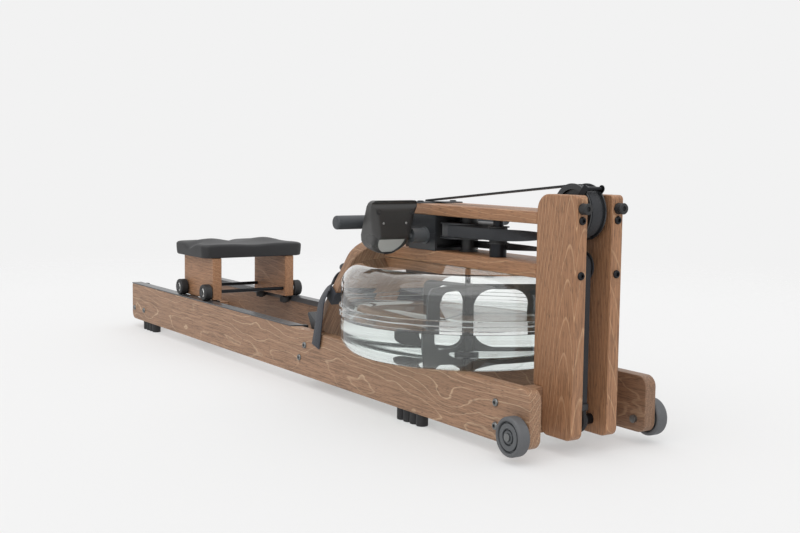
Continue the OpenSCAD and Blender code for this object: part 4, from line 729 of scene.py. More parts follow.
# %% [markdown]
# ## Fasteners
# Every board is held by button-head bolts with a hexagon socket. A socket could be cut
# with a Boolean, which leaves thin stray faces. Here a head is a low dome turned about
# the bolt's axis, and the socket's wall is the same ring of points, pulled in from a
# circle to a hexagon, so the dome and the socket are one closed surface.

# %% Bolt heads
APOTHEM = 0.866


def bolt_head(place, axis, radius, height, steps=36):
    """A dome over a hexagon socket. Its rings are (radius, height) pairs, and the last
    four take the hexagon's radius, apothem / cos(angle from the middle of a side)."""
    a, spoke = spokes(axis, steps)
    hexagon = APOTHEM / np.cos((a % (np.pi / 3)) - np.pi / 6)
    dome = [(0.0, -0.0002), (1.0, -0.0002), (1.0, 0.25), (0.97, 0.5), (0.88, 0.8), (0.74, 0.97), (0.60, 1.0)]
    socket_rings = [(0.52, 0.98), (0.50, 0.9), (0.50, 0.25), (0.0, 0.25)]
    rings = [np.full(steps, r * radius) for r, _ in dome] + [hexagon * radius * r for r, _ in socket_rings]
    heights = np.array([h * height for _, h in dome + socket_rings])
    points = (np.asarray(place) + heights[:, None, None] * np.asarray(axis, float)
              + np.array(rings)[..., None] * spoke[None])
    return points, grid_faces(len(rings), steps, True).tolist()


sample = bolt_head((0.0, 0.0, 0.0), UP, 0.008, 0.004)
print("one bolt head:", sample[0].shape[0], "rings,", len(sample[1]), "faces")

# %% Bolts in the rails and screws in the decks
RAIL_FACE, RAIL_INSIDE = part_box("left_rail")[1].y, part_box("left_rail")[0].y
POST_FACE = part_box("left_upright")[1].x
HEAD_R, HEAD_HEIGHT, NOSE_HEAD_HEIGHT, HALF_PAIR = 0.008, 0.004, 0.003, 0.045
BOLT_X = [0.022, 0.106, 1.1731, 1.2001, 1.9716, 1.9716]
BOLT_Z = [0.062, 0.062, 0.0692, 0.1038, 0.056, 0.102]
AXLE_PLACE = np.array([REAR + 2.045, 0.0, 0.052])
AXLE_BOLT = [(0.0, -0.006), (0.008, -0.006), (0.008, 0.0), (0.006, 0.0), (0.006, 0.0568),
             (0.0082, 0.0568), (0.0082, 0.0576), (0.0078, 0.0586), (0.0, 0.0598)]
rail_heads = [bolt_head((REAR + x, side * RAIL_FACE, z), (0, side, 0), HEAD_R, HEAD_HEIGHT)
              for side in (-1, 1) for x, z in zip(BOLT_X, BOLT_Z)]
for side in (-1, 1):
    out = np.array([0.0, side, 0.0])
    rail_heads.append(turned(AXLE_BOLT, AXLE_PLACE + out * RAIL_INSIDE, out, 48))
welded_piece("rail_bolt_heads", joined(rail_heads), worn_steel, "frame", "rail_bolts")
deck_heads = [bolt_head((POST_FACE, y, z), X_AXIS, HEAD_R, HEAD_HEIGHT)
              for y in (-HALF_PAIR, HALF_PAIR) for z in (0.350, 0.454)]
nose_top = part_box("deck_bracket")[1].z
deck_heads += [bolt_head((REAR + 1.530, y, nose_top), UP, HEAD_R, NOSE_HEAD_HEIGHT)
               for y in (-HALF_PAIR, HALF_PAIR)]
welded_piece("deck_screw_heads", joined(deck_heads), black_steel, "frame", "deck_screws")
print("bolt heads:", len(rail_heads) + len(deck_heads))

# %% [markdown]
# ## Rubber feet and bumpers
# Each foot is one moulding of four round studs in a row, with eased rims. The two front
# bumpers keep the uprights off the floor or wall when the machine is stored on end. They
# are turned shapes, as the lathe-cut moulds of the real ones are.

# %% Feet and bumpers
STUD = [(0.0, 0.0), (0.0105, 0.0), (0.0122, 0.0006), (0.013, 0.0022), (0.013, 0.026), (0.0, 0.026)]
STUD_PITCH, FOOT_STARTS, FOOT_Y = 0.025, (0.103, 1.625), 0.1474
BUMPER = [(0.0, -0.0002), (0.0104, -0.0002), (0.011, 0.0008), (0.0105, 0.006), (0.0105, 0.012),
          (0.011, 0.0155), (0.0100, 0.0172), (0.0088, 0.0175), (0.0050, 0.0175), (0.0046, 0.0168),
          (0.0042, 0.0140), (0.0, 0.0138)]
BUMPER_Z = 0.4765
studs = [turned(STUD, (REAR + start + STUD_PITCH * i, side * FOOT_Y, 0.0), UP, 40)
         for start in FOOT_STARTS for side in (-1, 1) for i in range(4)]
welded_piece("rubber_foot_studs", joined(studs), black_rubber, "frame", "rubber_feet")
bumpers = [turned(BUMPER, (POST_FACE, y, BUMPER_Z), X_AXIS, 48) for y in (-HALF_PAIR, HALF_PAIR)]
welded_piece("front_bumper_pair", joined(bumpers), black_rubber, "frame", "front_bumpers")
print("foot studs:", len(studs), "bumpers:", len(bumpers))

# %% [markdown]
# ## Wheels
# The transport wheels are a grey soft tyre on a dark plastic centre with moulded rings.
# The seat runs on four small wheels with black tyres and bright hubs. Cylinders with a
# bevel would lose the rings, so all of them are profiles turned about Y: the wheel's
# width is the profile's height.

# %% Transport wheels
WHEEL_WIDTH, TYRE_BEND = 0.027, 0.006
tyre = ([(0.0300, 0.0022), (0.0312, 0.0006), (0.0335, 0.0)]
        + arc((0.0325, TYRE_BEND), TYRE_BEND, -70, 0, 8).tolist()
        + arc((0.0325, WHEEL_WIDTH - TYRE_BEND), TYRE_BEND, 0, 70, 8).tolist()
        + [(0.0335, WHEEL_WIDTH), (0.0312, WHEEL_WIDTH - 0.0006), (0.0300, WHEEL_WIDTH - 0.0022),
           (0.0300, 0.0022)])
near_side = np.array([(0.0061, 0.0015), (0.0118, 0.0015), (0.0124, 0.0020), (0.0130, 0.0065),
                      (0.0158, 0.0065), (0.0164, 0.0020), (0.0170, 0.0015), (0.0256, 0.0018),
                      (0.0262, 0.0024), (0.0268, 0.0070), (0.0290, 0.0070), (0.0300, 0.0034)])
far_side = near_side[::-1] * [1, -1] + [0, WHEEL_WIDTH]
wheel_centre = np.concatenate([near_side, far_side, near_side[:1]])
inner_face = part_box("left_transport_wheel")[0].y
for side, word in ((-1, "right"), (1, "left")):
    node, body, axis = word + "_transport_wheel", word + "_transport", (0.0, side, 0.0)
    start = AXLE_PLACE + [0.0, side * inner_face, 0.0]
    welded_piece(word + "_wheel_tyre", turned(tyre, start, axis), tyre_rubber, body, node)
    welded_piece(word + "_wheel_centre", turned(wheel_centre, start, axis), hub_moulding, body, node,
                 np.radians(25))

# %% Seat wheels
low, high = box_arrays("front_seat_wheels")
SEAT_WHEEL_R = (high[2] - low[2]) / 2
SEAT_WHEEL_WIDTH = high[1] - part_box("seat_blocks")[1].y - 0.003
SEAT_BEND = 0.004
seat_tyre = ([(0.0130, 0.0010), (0.0165, 0.0)]
             + arc((SEAT_WHEEL_R - SEAT_BEND, SEAT_BEND), SEAT_BEND, -80, 0, 7).tolist()
             + arc((SEAT_WHEEL_R - SEAT_BEND, SEAT_WHEEL_WIDTH - SEAT_BEND), SEAT_BEND, 0, 80, 7).tolist()
             + [(0.0165, SEAT_WHEEL_WIDTH), (0.0130, SEAT_WHEEL_WIDTH - 0.001), (0.0130, 0.0010)])
seat_hub = [(0.0051, 0.0), (0.0085, 0.0), (0.0092, 0.0014), (0.0130, 0.0022),
            (0.0130, SEAT_WHEEL_WIDTH - 0.0022), (0.0092, SEAT_WHEEL_WIDTH - 0.0014),
            (0.0085, SEAT_WHEEL_WIDTH), (0.0051, SEAT_WHEEL_WIDTH), (0.0051, 0.0)]
for word in ("front", "rear"):
    low, high = box_arrays(word + "_seat_wheels")
    middle = (low + high) / 2
    inner = high[1] - SEAT_WHEEL_WIDTH
    ends = [((middle[0], side * inner, middle[2]), (0.0, side, 0.0)) for side in (-1, 1)]
    tyres = [turned(seat_tyre, start, axis, 72) for start, axis in ends]
    hubs = [turned(seat_hub, start, axis, 72) for start, axis in ends]
    welded_piece(word + "_wheel_tyres", joined(tyres), black_rubber, word + "_wheels", word + "_seat_wheels")
    welded_piece(word + "_wheel_hubs", joined(hubs), bright_steel, word + "_wheels")
print("seat wheels:", round(2 * SEAT_WHEEL_R, 3), "m across")

# %% [markdown]
# ## Webbing
# The drive strap, the recoil strap and the foot straps are flat woven webbing. A curve
# with a flat bevel would make a band, but it can't say which way the band faces. Here a
# thin section with rounded rims is carried along a path: at each point the section's
# width lies along a chosen direction, so the strap can twist. Its UV map holds distance
# along and across in metres, and the weave follows that, however the strap turns.

# %% Woven finish
def uv_lengths(tree):
    """The two outputs of a piece's UV map: metres along it and metres across or round it."""
    source = add_node(tree, "ShaderNodeUVMap", uv_map="along")
    parts = add_node(tree, "ShaderNodeSeparateXYZ")
    feed(tree, parts, {0: source.outputs[0]})
    return parts.outputs[0], parts.outputs[1]


def webbing(name, dark, pale, pitch=0.0021):
    """A plain weave: two sine waves in U and V, half a turn apart in alternate rows, give
    the height; the hollows between threads are darker, which is painted shade."""
    material, tree, shader = blank_material(name)
    along, across = uv_lengths(tree)
    turns = 2 * np.pi / pitch
    lengthwise = math_node(tree, "SINE", math_node(tree, "MULTIPLY", along, turns))
    crosswise = math_node(tree, "SINE", math_node(tree, "MULTIPLY", across, turns * 0.9))
    weave = math_node(tree, "MULTIPLY", lengthwise, crosswise)
    height = math_node(tree, "MULTIPLY_ADD", weave, 0.5, 0.5)
    masks = add_node(tree, "ShaderNodeGroup", node_tree=MOULDED)
    feed(tree, masks, {"Vector": object_coordinates(tree)})
    wear = math_node(tree, "MULTIPLY_ADD", masks.outputs["Patches"], 0.8, 0.2)
    # Pale on the thread tops and dark in the hollows: painted shade, whose strength the slow patches vary.
    tone = blend_colours(tree, math_node(tree, "MULTIPLY", height, wear), dark, pale)
    feed(tree, shader, {"Base Color": tone, "Roughness": math_node(tree, "MULTIPLY_ADD", height, 0.15, 0.62),
                        "Normal": bump(tree, height, 0.0003, 0.8), "Sheen Weight": 0.12})
    return material


strap_webbing = webbing("strap_webbing", (0.010, 0.012, 0.018), (0.040, 0.046, 0.062))
drive_webbing = webbing("drive_webbing", (0.010, 0.011, 0.014), (0.036, 0.039, 0.046), 0.0016)
wound_webbing = webbing("wound_webbing", (0.030, 0.031, 0.033), (0.085, 0.087, 0.090), 0.0016)
print("woven finishes:", strap_webbing.name, drive_webbing.name, wound_webbing.name)

# %% A band along a path
def walked_length(points):
    """How far each point lies along its path: the sum of the steps up to it."""
    return np.concatenate([[0], np.cumsum(np.linalg.norm(np.diff(points, axis=0), axis=1))])


def smooth_path(points, ups, per_span=6):
    """More points on the same path: a Catmull-Rom curve through them, and the width
    directions mixed in step with it."""
    points, ups = np.asarray(points, float), np.asarray(ups, float)
    p = np.concatenate([2 * points[:1] - points[1:2], points, 2 * points[-1:] - points[-2:-1]])
    t = np.linspace(0, 1, per_span, endpoint=False)[None, :, None]
    p0, p1, p2, p3 = (p[i:len(p) - 3 + i, None] for i in range(4))
    curve = 0.5 * (2 * p1 + (p2 - p0) * t + (2 * p0 - 5 * p1 + 4 * p2 - p3) * t ** 2
                   + (3 * p1 - p0 - 3 * p2 + p3) * t ** 3)
    mixed = ups[:-1, None] * (1 - t) + ups[1:, None] * t
    return (np.concatenate([curve.reshape(-1, 3), points[-1:]]),
            np.concatenate([mixed.reshape(-1, 3), ups[-1:]]))


def band_shape(points, ups, width, thick, closed=False):
    """Section = a flat lozenge of twelve points; point = path + across * width direction +
    above * (tangent x width direction). U is the length walked along the path."""
    points, ups = np.asarray(points, float), np.asarray(ups, float)
    if closed:
        points = np.concatenate([points, points[:1]])
        ups = np.concatenate([ups, ups[:1]])
        over_the_join = points[1:2] - points[-2:-1]
        chord = np.concatenate([over_the_join, points[2:] - points[:-2], over_the_join])
    else:
        chord = np.gradient(points, axis=0)
    tangent = chord / np.linalg.norm(chord, axis=1)[:, None]
    wide = ups - (ups * tangent).sum(1)[:, None] * tangent
    wide /= np.linalg.norm(wide, axis=1)[:, None]
    above = np.cross(tangent, wide)
    half, t = width / 2, thick / 2
    rim = min(t, half * 0.5)
    across = np.array([-half, -half + rim * 0.4, -half + rim, 0, half - rim, half - rim * 0.4, half,
                       half - rim * 0.4, half - rim, 0, -half + rim, -half + rim * 0.4])
    rise = np.array([0, 0.75, 1, 1, 1, 0.75, 0, -0.75, -1, -1, -1, -0.75]) * t
    grid = points[:, None] + across[None, :, None] * wide[:, None] + rise[None, :, None] * above[:, None]
    uv = np.stack(np.broadcast_arrays(walked_length(points)[:, None], across[None]), axis=-1)
    faces = closed_faces(len(points), len(across), turned_over=True)
    return grid, faces[:-2] if closed else faces, uv


def band_piece(name, bands, material, body, node=()):
    """One piece made of bands, with their UV maps kept in step with their points."""
    points, faces = joined([(b[0], b[1]) for b in bands])
    uv = np.concatenate([b[2].reshape(-1, 2) for b in bands])
    return make_piece(name, points, faces, material, body, node, SOFT, uv)


def part_circle(centre, radius, angles):
    """Points on a circle in the X-Z plane about a centre, at the angles, in radians."""
    return np.column_stack([centre[0] + radius * np.cos(angles), np.zeros(len(angles)),
                            centre[2] + radius * np.sin(angles)])


def middle_of(node):
    """The middle of a CAD node's box."""
    return sum(box_arrays(node)) / 2


sample = band_shape([(0, 0, 0), (0.5, 0, 0), (1, 0, 0)], [Y_AXIS] * 3, 0.024, 0.0012)
print("one metre of band:", round(float(sample[2][-1, 0, 0]), 3), "m along its UV map")

# %% Drive strap round the pulley and back to the drum
STRAP_WIDTH, STRAP_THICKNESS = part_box("middle_strap")[1].y * 2, 0.0012
STRAP_R, GUIDE_LINE, DRUM_LINE, TOUCH_AHEAD = 0.0509, 0.0199, 0.0589, 0.004
NOSE_OVER, NOSE_LIFT, RUN_STEPS = 0.0035, 0.0038, 26
PULLEY, DRUM, GUIDE = middle_of("top_pulley"), middle_of("drive_drum"), middle_of("guide_roller")
deck_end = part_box("upper_deck")[0].x
strap_end = np.array([deck_end - NOSE_OVER, 0.0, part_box("upper_deck")[1].z + NOSE_LIFT])
reach = PULLEY - strap_end
FALL = np.arctan2(reach[2], reach[0]) + np.arcsin(STRAP_R / np.hypot(reach[0], reach[2]))
drum_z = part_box("strap_winding")[0].z / 2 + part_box("strap_winding")[1].z / 2
round_pulley = part_circle(PULLEY, STRAP_R, np.radians(np.linspace(90 + np.degrees(FALL), -90, 30)))
guide_touch = np.array([GUIDE[0] + TOUCH_AHEAD, GUIDE[1] - GUIDE_LINE, drum_z])
drum_touch = np.array([DRUM[0] + TOUCH_AHEAD, -DRUM_LINE, drum_z])


def twisting(steps, start_turn, end_turn):
    """Shares of a run from 0 to 1, and the width directions along it: Y turned towards Z
    by an angle that eases from one turn to the other as share^2 * (3 - 2 * share)."""
    share = np.linspace(0, 1, steps)[:, None]
    turn = start_turn + (end_turn - start_turn) * (share * share * (3 - 2 * share))[:, 0]
    return share, np.column_stack([np.zeros(steps), np.cos(turn), np.sin(turn)])


share, twist = twisting(RUN_STEPS, 0.0, np.pi / 2)
back_run = round_pulley[-1] * (1 - share[1:]) + guide_touch * share[1:]
drive_line = np.concatenate([[strap_end], round_pulley, back_run, [drum_touch]])
drive_ups = np.concatenate([np.tile(Y_AXIS, (1 + len(round_pulley), 1)), twist[1:], [UP]])
band_piece("drive_strap_webbing", [band_shape(drive_line, drive_ups, STRAP_WIDTH, STRAP_THICKNESS)],
           drive_webbing, "frame", "drive_strap")
print("strap falls", round(float(np.degrees(FALL)), 2), "degrees to the deck's end")

# %% Layers that pay out with the handle
LAYER_THICKNESS, MIDDLE_OFF, TOP_OFF, SHORT_OF_PULLEY = 0.0009, 0.00135, 0.00255, 0.004
EYE_R, EYE_STEPS = 0.0132, 22
fall_line = np.array([np.cos(FALL), 0.0, np.sin(FALL)])
off_line = np.array([-np.sin(FALL), 0.0, np.cos(FALL)])
leave = round_pulley[0]


def layer_line(x_back, off):
    """Two ends of a straight layer of the strap, from that X to just short of the pulley,
    off the fixed layer by that distance."""
    ends = np.array([x_back, leave[0] - SHORT_OF_PULLEY])[:, None]
    return leave + fall_line * (ends - leave[0]) / np.cos(FALL) + off_line * off


middle_line = layer_line(deck_end - NOSE_OVER, MIDDLE_OFF)
band_piece("middle_strap_webbing", [band_shape(middle_line, [Y_AXIS] * 2, STRAP_WIDTH, LAYER_THICKNESS)],
           drive_webbing, "strap_run", "middle_strap")
CORE = middle_of("handle_core")
top_line = layer_line(deck_end - NOSE_OVER - STRAP_THICKNESS, TOP_OFF)
drop = np.array([top_line[1], top_line[0], top_line[0] + [-0.0014, 0, -0.002],
                 (deck_end - 0.0061, 0, top_line[0][2] - 0.008), (deck_end - 0.0085, 0, CORE[2] + 0.012)])
eye = part_circle(CORE, EYE_R, np.radians(np.linspace(60, -250, EYE_STEPS)))
handle_line = np.concatenate([drop, eye])
handle_ups = np.tile(Y_AXIS, (len(handle_line), 1))
band_piece("handle_strap_webbing", [band_shape(handle_line, handle_ups, STRAP_WIDTH, STRAP_THICKNESS)],
           drive_webbing, "handle", "handle_strap")
print("handle strap:", round(float(walked_length(handle_line)[-1]), 3), "m")

# %% Strap wound on the drum
low, high = box_arrays("strap_winding")
WOUND_LAYERS, WOUND_INNER, WOUND_OUTER, RIPPLE = 9, 0.0401, 0.0583, 0.0008
edge = np.linspace(0.0405, 0.058, 2 * WOUND_LAYERS)
ripple = np.where(np.arange(2 * WOUND_LAYERS) % 2 == 0, 0.0, RIPPLE)
wound = np.concatenate([[(WOUND_INNER, low[2])], np.column_stack([edge, low[2] + ripple]),
                        [(WOUND_OUTER, low[2] + 0.002), (WOUND_OUTER, high[2] - 0.002)],
                        np.column_stack([edge[::-1], high[2] - ripple[::-1]]),
                        [(WOUND_INNER, high[2]), (WOUND_INNER, low[2])]])
points, faces = turned(wound, (DRUM[0], 0.0, 0.0), UP)
uv = np.stack(np.broadcast_arrays(edge[-1] * spokes(UP, 96)[0][None], wound[:, 1:]), axis=-1)
make_piece("wound_strap", points, faces, wound_webbing, "drum", "strap_winding", STEEP, uv)
print("wound strap:", WOUND_LAYERS, "layers,", round(2 * WOUND_OUTER, 3), "m across")

# %% Recoil strap and its clip
RECOIL_WIDTH, RECOIL_LINE, RECOIL_AHEAD, LOW_R, INTO_CLIP = 0.016, 0.0179, 0.003, 0.0269, 0.004
CLIP_TOP, CLIP_FOOT, CLIP_HALF, CLIP_ROUNDING, CLIP_EASE = 0.096, 0.082, 0.005, 0.0025, 0.0012
LOW_WHEEL = middle_of("lower_pulley")
clip_x = LOW_WHEEL[0] + LOW_R
recoil_z = (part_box("drive_drum")[0].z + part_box("strap_winding")[0].z - 0.003) / 2
recoil_start = np.array([DRUM[0] + RECOIL_AHEAD, RECOIL_LINE, recoil_z])
recoil_top = LOW_WHEEL + [0.0, 0.0, LOW_R]
share, twist = twisting(RUN_STEPS, np.pi / 2, 0.0)
round_low_wheel = part_circle(LOW_WHEEL, LOW_R, np.radians(np.linspace(90, 0, 12))[1:])
recoil_line = np.concatenate([recoil_start * (1 - share) + recoil_top * share, round_low_wheel,
                              [(clip_x, 0.0, CLIP_TOP - INTO_CLIP)]])
recoil_ups = np.concatenate([twist, np.tile(Y_AXIS, (len(round_low_wheel) + 1, 1))])
band_piece("recoil_strap_webbing", [band_shape(recoil_line, recoil_ups, RECOIL_WIDTH, STRAP_THICKNESS)],
           drive_webbing, "frame", "recoil_strap")
clip_outline = rounded_rectangle((clip_x - CLIP_HALF, CLIP_FOOT), (clip_x + CLIP_HALF, CLIP_TOP),
                                 CLIP_ROUNDING, 6)
clip = board_shape(clip_outline, -RECOIL_WIDTH / 2, RECOIL_WIDTH / 2, CLIP_EASE)
make_piece("recoil_clip", *clip, black_moulding, "frame", "recoil_strap")
print("recoil strap:", round(float(walked_length(recoil_line)[-1]), 3), "m")

# %% [markdown]
# ## Elastic cord
# An elastic cord with a braided cover pulls the handle back. It runs down from the clip,
# round a grooved roller and back under the tank to an anchor on the footboard. A bevelled
# curve would do for a plain rope, but the braid needs distances along and round the cord,
# so the tube is a grid with its own UV map. The cover is a diagonal weave: two sets of
# stripes that climb round the cord in both directions.

# %% Braided finish
def braid(name, dark, pale, pitch=0.004, girth=0.0283):
    """Stripes of U / pitch + V / girth * 4 and of their difference cross as a braid; their
    product is the height of the yarn, and the colour is darker where the yarn is low: painted
    shade between the yarns."""
    material, tree, shader = blank_material(name)
    metres_along, metres_round = uv_lengths(tree)
    along = math_node(tree, "MULTIPLY", metres_along, 2 * np.pi / pitch)
    around = math_node(tree, "MULTIPLY", metres_round, 8 * np.pi / girth)
    left = math_node(tree, "SINE", math_node(tree, "ADD", along, around))
    right = math_node(tree, "SINE", math_node(tree, "SUBTRACT", along, around))
    height = math_node(tree, "MULTIPLY_ADD", math_node(tree, "MULTIPLY", left, right), 0.5, 0.5)
    # Dark between the yarns and pale on them: painted shade.
    feed(tree, shader, {"Base Color": blend_colours(tree, height, dark, pale),
                        "Roughness": math_node(tree, "MULTIPLY_ADD", height, -0.1, 0.75),
                        "Normal": bump(tree, height, 0.0005, 0.8)})
    return material


def tube_shape(points, radius, sides=16):
    """A tube along a path in the X-Z plane: point = path + radius * (cos a * normal +
    sin a * Y). Both ends are closed."""
    points = np.asarray(points, float)
    tangent = np.gradient(points, axis=0)
    tangent /= np.linalg.norm(tangent, axis=1)[:, None]
    normal = np.cross(tangent, [0.0, 1.0, 0.0])
    a = np.linspace(0, 2 * np.pi, sides, endpoint=False)
    grid = points[:, None] + radius * (np.cos(a)[None, :, None] * normal[:, None]
                                       + np.sin(a)[None, :, None] * np.array(Y_AXIS))
    uv = np.stack(np.broadcast_arrays(walked_length(points)[:, None], radius * a[None]), axis=-1)
    return grid, closed_faces(len(points), sides), uv


cord_cover = braid("elastic_cord_braid", (0.006, 0.006, 0.007), (0.035, 0.035, 0.038))
print("braided finish:", cord_cover.name)

# %% The cord and its anchor
CORD_R, CORD_LINE, ANCHOR_RISE, INTO_ANCHOR = 0.0045, 0.0195, 0.020, 0.004
CORD_WHEEL = middle_of("cord_roller")
ANCHOR = [(0.0, -0.0002), (0.0115, -0.0002), (0.012, 0.0006), (0.012, 0.005), (0.0108, 0.0074),
          (0.009, 0.008), (0.0, 0.008)]
anchor_z = CORD_WHEEL[2] - CORD_LINE + ANCHOR_RISE
anchor_face = BOARD_PLACE - OFF_BOARD * BOARD_HALF_THICKNESS
anchor_on_board = anchor_face + UP_BOARD * (anchor_z - BOARD_PLACE[2]) / np.sin(SLOPE)
under_x = anchor_face[0] + (anchor_z - anchor_face[2]) / np.tan(SLOPE)
share = np.linspace(0, 1, 40)[1:, None]
round_roller = part_circle(CORD_WHEEL, CORD_LINE, np.radians(np.linspace(0, -90, 14)))
under_tank = round_roller[-1] * (1 - share) + np.array([under_x + INTO_ANCHOR, 0.0, anchor_z]) * share
cord_path = np.concatenate([[(clip_x, 0.0, CLIP_FOOT)], round_roller, under_tank])
band_piece("elastic_cord", [tube_shape(cord_path, CORD_R)], cord_cover, "frame", "recoil_cord")
welded_piece("cord_anchor", turned(ANCHOR, anchor_on_board, -OFF_BOARD, 48), black_moulding, "frame",
             "recoil_cord")
print("elastic cord:", round(float(walked_length(cord_path)[-1]), 3), "m long")

# %% [markdown]
# ## Foot straps and heel rests
# A strap is one loop of webbing through a slot in the board, over the foot and round the
# board's edge, with a tail that hangs past the rail. Cloth simulation would let it sag
# differently on every change, so its line is placed and stays stiff. A heel rest is a
# tray with a cup, one outline carried across its width with eased edges.

# %% Places on the footboard
LOOP_AT, LOOP_WIDTH, TAPE = 0.194, 0.038, 0.0025


def on_board(up, side, off):
    """A place on the footboard: up its slope, sideways in Y, and off its middle plane."""
    up, side, off = (share[..., None] for share in np.broadcast_arrays(np.asarray(up, float), side, off))
    return BOARD_PLACE + up * UP_BOARD + side * np.array(Y_AXIS) + off * OFF_BOARD


def board_half(up):
    """Half the board's width at a place up its slope, between the shoulders and the head."""
    return SHOULDER_HALF - (SHOULDER_HALF - HEAD_HALF) * (up - SHOULDER) / (HEAD - SHOULDER)


print("footboard's half width at the loops:", round(board_half(LOOP_AT), 4), "m")

# %% Foot straps
INNER_SLOT, UNDER_OFF, OVER_OFF, BOW_START, BOW_RISE = 0.038, -0.0145, 0.012, 0.015, 0.0457
TAIL_START, TAIL_DROP, STUD_RISE, STUD_INSET = 0.207, 0.148, 0.072, 0.011
EDGE_GAP, RAIL_GAP = 0.0028, 0.004
outer_leg = board_half(LOOP_AT - LOOP_WIDTH / 2) + EDGE_GAP - TAPE / 2
inner_leg = INNER_SLOT - TAPE / 2
u = np.linspace(0, 1, 33)
bow = np.column_stack([outer_leg + (inner_leg - outer_leg) * u, BOW_START + BOW_RISE * np.sin(np.pi * u)])
inner_side = np.column_stack([np.full(4, inner_leg), np.linspace(OVER_OFF, UNDER_OFF, 4)])
under_side = np.column_stack([np.linspace(inner_leg, outer_leg, 8)[1:], np.full(7, UNDER_OFF)])
outer_side = np.column_stack([np.full(3, outer_leg), np.linspace(UNDER_OFF, OVER_OFF, 4)[1:]])
loop = np.concatenate([bow, inner_side, under_side, outer_side])
# The tail's points are shares of its reach back, out and down.
tail_steps = np.array([[0, 0, 0], [-0.05, 0.28, -0.055], [-0.07, 0.75, -0.16], [-0.075, 1.05, -0.26],
                       [-0.115, 1.06, -0.4], [-0.162, 1.02, -0.554], [-0.223, 1, -0.8], [-0.277, 1, -1]])
tail_reach = np.array([TAIL_DROP, RAIL_FACE + RAIL_GAP - outer_leg, TAIL_DROP])
STRAP_STUD = [(0.0, -0.0002), (0.0098, -0.0002), (0.0100, 0.0015), (0.0100, 0.0080), (0.0085, 0.0103),
              (0.0060, 0.0110), (0.0, 0.0112)]
stud_at = LOOP_AT + STUD_RISE
straps, studs = [], []
for side in (-1, 1):
    line = on_board(np.full(len(loop), LOOP_AT), side * loop[:, 0], loop[:, 1])
    straps.append(band_shape(line, np.tile(UP_BOARD, (len(loop), 1)), LOOP_WIDTH, TAPE, closed=True))
    first = on_board(TAIL_START, side * outer_leg, BOARD_HALF_THICKNESS)
    tail = first + tail_steps * tail_reach * [1, side, 1]
    tail_ups = np.array([[1.0, side * (0.35 - 0.05 * i), 0.0] for i in range(len(tail))])
    straps.append(band_shape(*smooth_path(tail, tail_ups), LOOP_WIDTH, TAPE))
    stud_place = on_board(stud_at, side * (board_half(stud_at) - STUD_INSET), BOARD_HALF_THICKNESS)
    studs.append(turned(STRAP_STUD, stud_place, OFF_BOARD, 40))
band_piece("foot_strap_webbing", straps, strap_webbing, "frame", "foot_straps")
welded_piece("foot_strap_studs", joined(studs), black_moulding, "frame", "foot_straps")
print("strap loops:", len(straps) // 2, "studs:", len(studs))

# %% Heel rests
CUP_AT, CUP, PLATE_HEAD, PLATE_REACH, HEEL_EASE = 0.045, 0.070, 0.234, 0.062, 0.0012
FACE = BOARD_HALF_THICKNESS + 0.0003
TRAY = FACE + 0.005
tray = [(CUP_AT - PLATE_REACH, FACE), (PLATE_HEAD, FACE), (PLATE_HEAD + 0.004, TRAY - 0.002),
        (PLATE_HEAD, TRAY), (CUP_AT + 0.026, TRAY), (CUP_AT + 0.016, TRAY + 0.005),
        (CUP_AT + 0.007, FACE + CUP), (CUP_AT, FACE + CUP), (CUP_AT - 0.015, FACE + CUP * 0.45),
        (CUP_AT - 0.044, TRAY + 0.002), (CUP_AT - PLATE_REACH, TRAY - 0.001)]
tray_roundings = (0.001, 0.001, 0.0015, 0.0015, 0.006, 0.006, 0.002, 0.003, 0.012, 0.012, 0.001)
tray_outline = rounded_outline(tray, tray_roundings, 7)
for word in ("right", "left"):
    low, high = box_arrays(word + "_heel_rest")
    heel = board_shape(tray_outline, -high[1], -low[1], HEEL_EASE, UP_BOARD, OFF_BOARD, BOARD_PLACE)
    make_piece(word + "_heel_tray", *heel, black_moulding, word + "_heel", word + "_heel_rest")

# %% [markdown]
# ## Seat pad
# The pad is moulded foam under a smooth matt cover. Sculpting or a cloth cover would lose
# its crisp rim, so its height is a formula. Its rings shrink from the outline to the
# middle. The height is a plateau with two wide lobes, a saddle between them and a notch
# in each short side, all of them round bumps; the rim rolls over a small radius.

# %% The pad's outline and its height
pad_low, pad_high = box_arrays("seat_pad")
PAD = (pad_low + pad_high) / 2
PAD_HALF = (pad_high - pad_low) / 2
PAD_ROUNDING, PAD_COLUMNS, PAD_FOAM, LOBE_RISE = 0.022, 288, 0.041 * 0.95, 0.011
corner_line = rounded_rectangle(-PAD_HALF, PAD_HALF, PAD_ROUNDING, 24)
closed_line = np.concatenate([corner_line, corner_line[:1]])
walk = walked_length(closed_line)
even = np.linspace(0, walk[-1], PAD_COLUMNS, endpoint=False)
around = np.column_stack([np.interp(even, walk, closed_line[:, i]) for i in (0, 1)])


def lobe(u, v, middle_u, middle_v, reach_u, reach_v):
    """A round bump: exp(-((u - middle) / reach)^2 in both directions)."""
    return np.exp(-((u - middle_u) / reach_u) ** 2 - ((v - middle_v) / reach_v) ** 2)


def pad_height(x, y):
    """The pad's top over its foot: a plateau, two lobes, the saddle and the side notches.
    u and v are shares of the pad's length and width, and w is v without its sign."""
    u, v = x / (2 * PAD_HALF[0]), y / (2 * PAD_HALF[1])
    w = np.abs(v)
    return PAD_FOAM + LOBE_RISE * (
        lobe(u, w, -0.02, 0.27, 0.27, 0.16) + 0.1 * lobe(u, w, 0.49, 0.31, 0.18, 0.19)
        - 0.6 * lobe(u, v, -0.48, 0, 0.27, 0.075) - 1.3 * lobe(u, w, 0, 0.5, 0.14, 0.10)
        - 0.2 * lobe(u, v, 0.5, 0, 0.27, 0.125))


print("pad:", np.round(2 * PAD_HALF, 3), "top over its foot:", np.round(pad_height(0.0, 0.09), 4), "m")

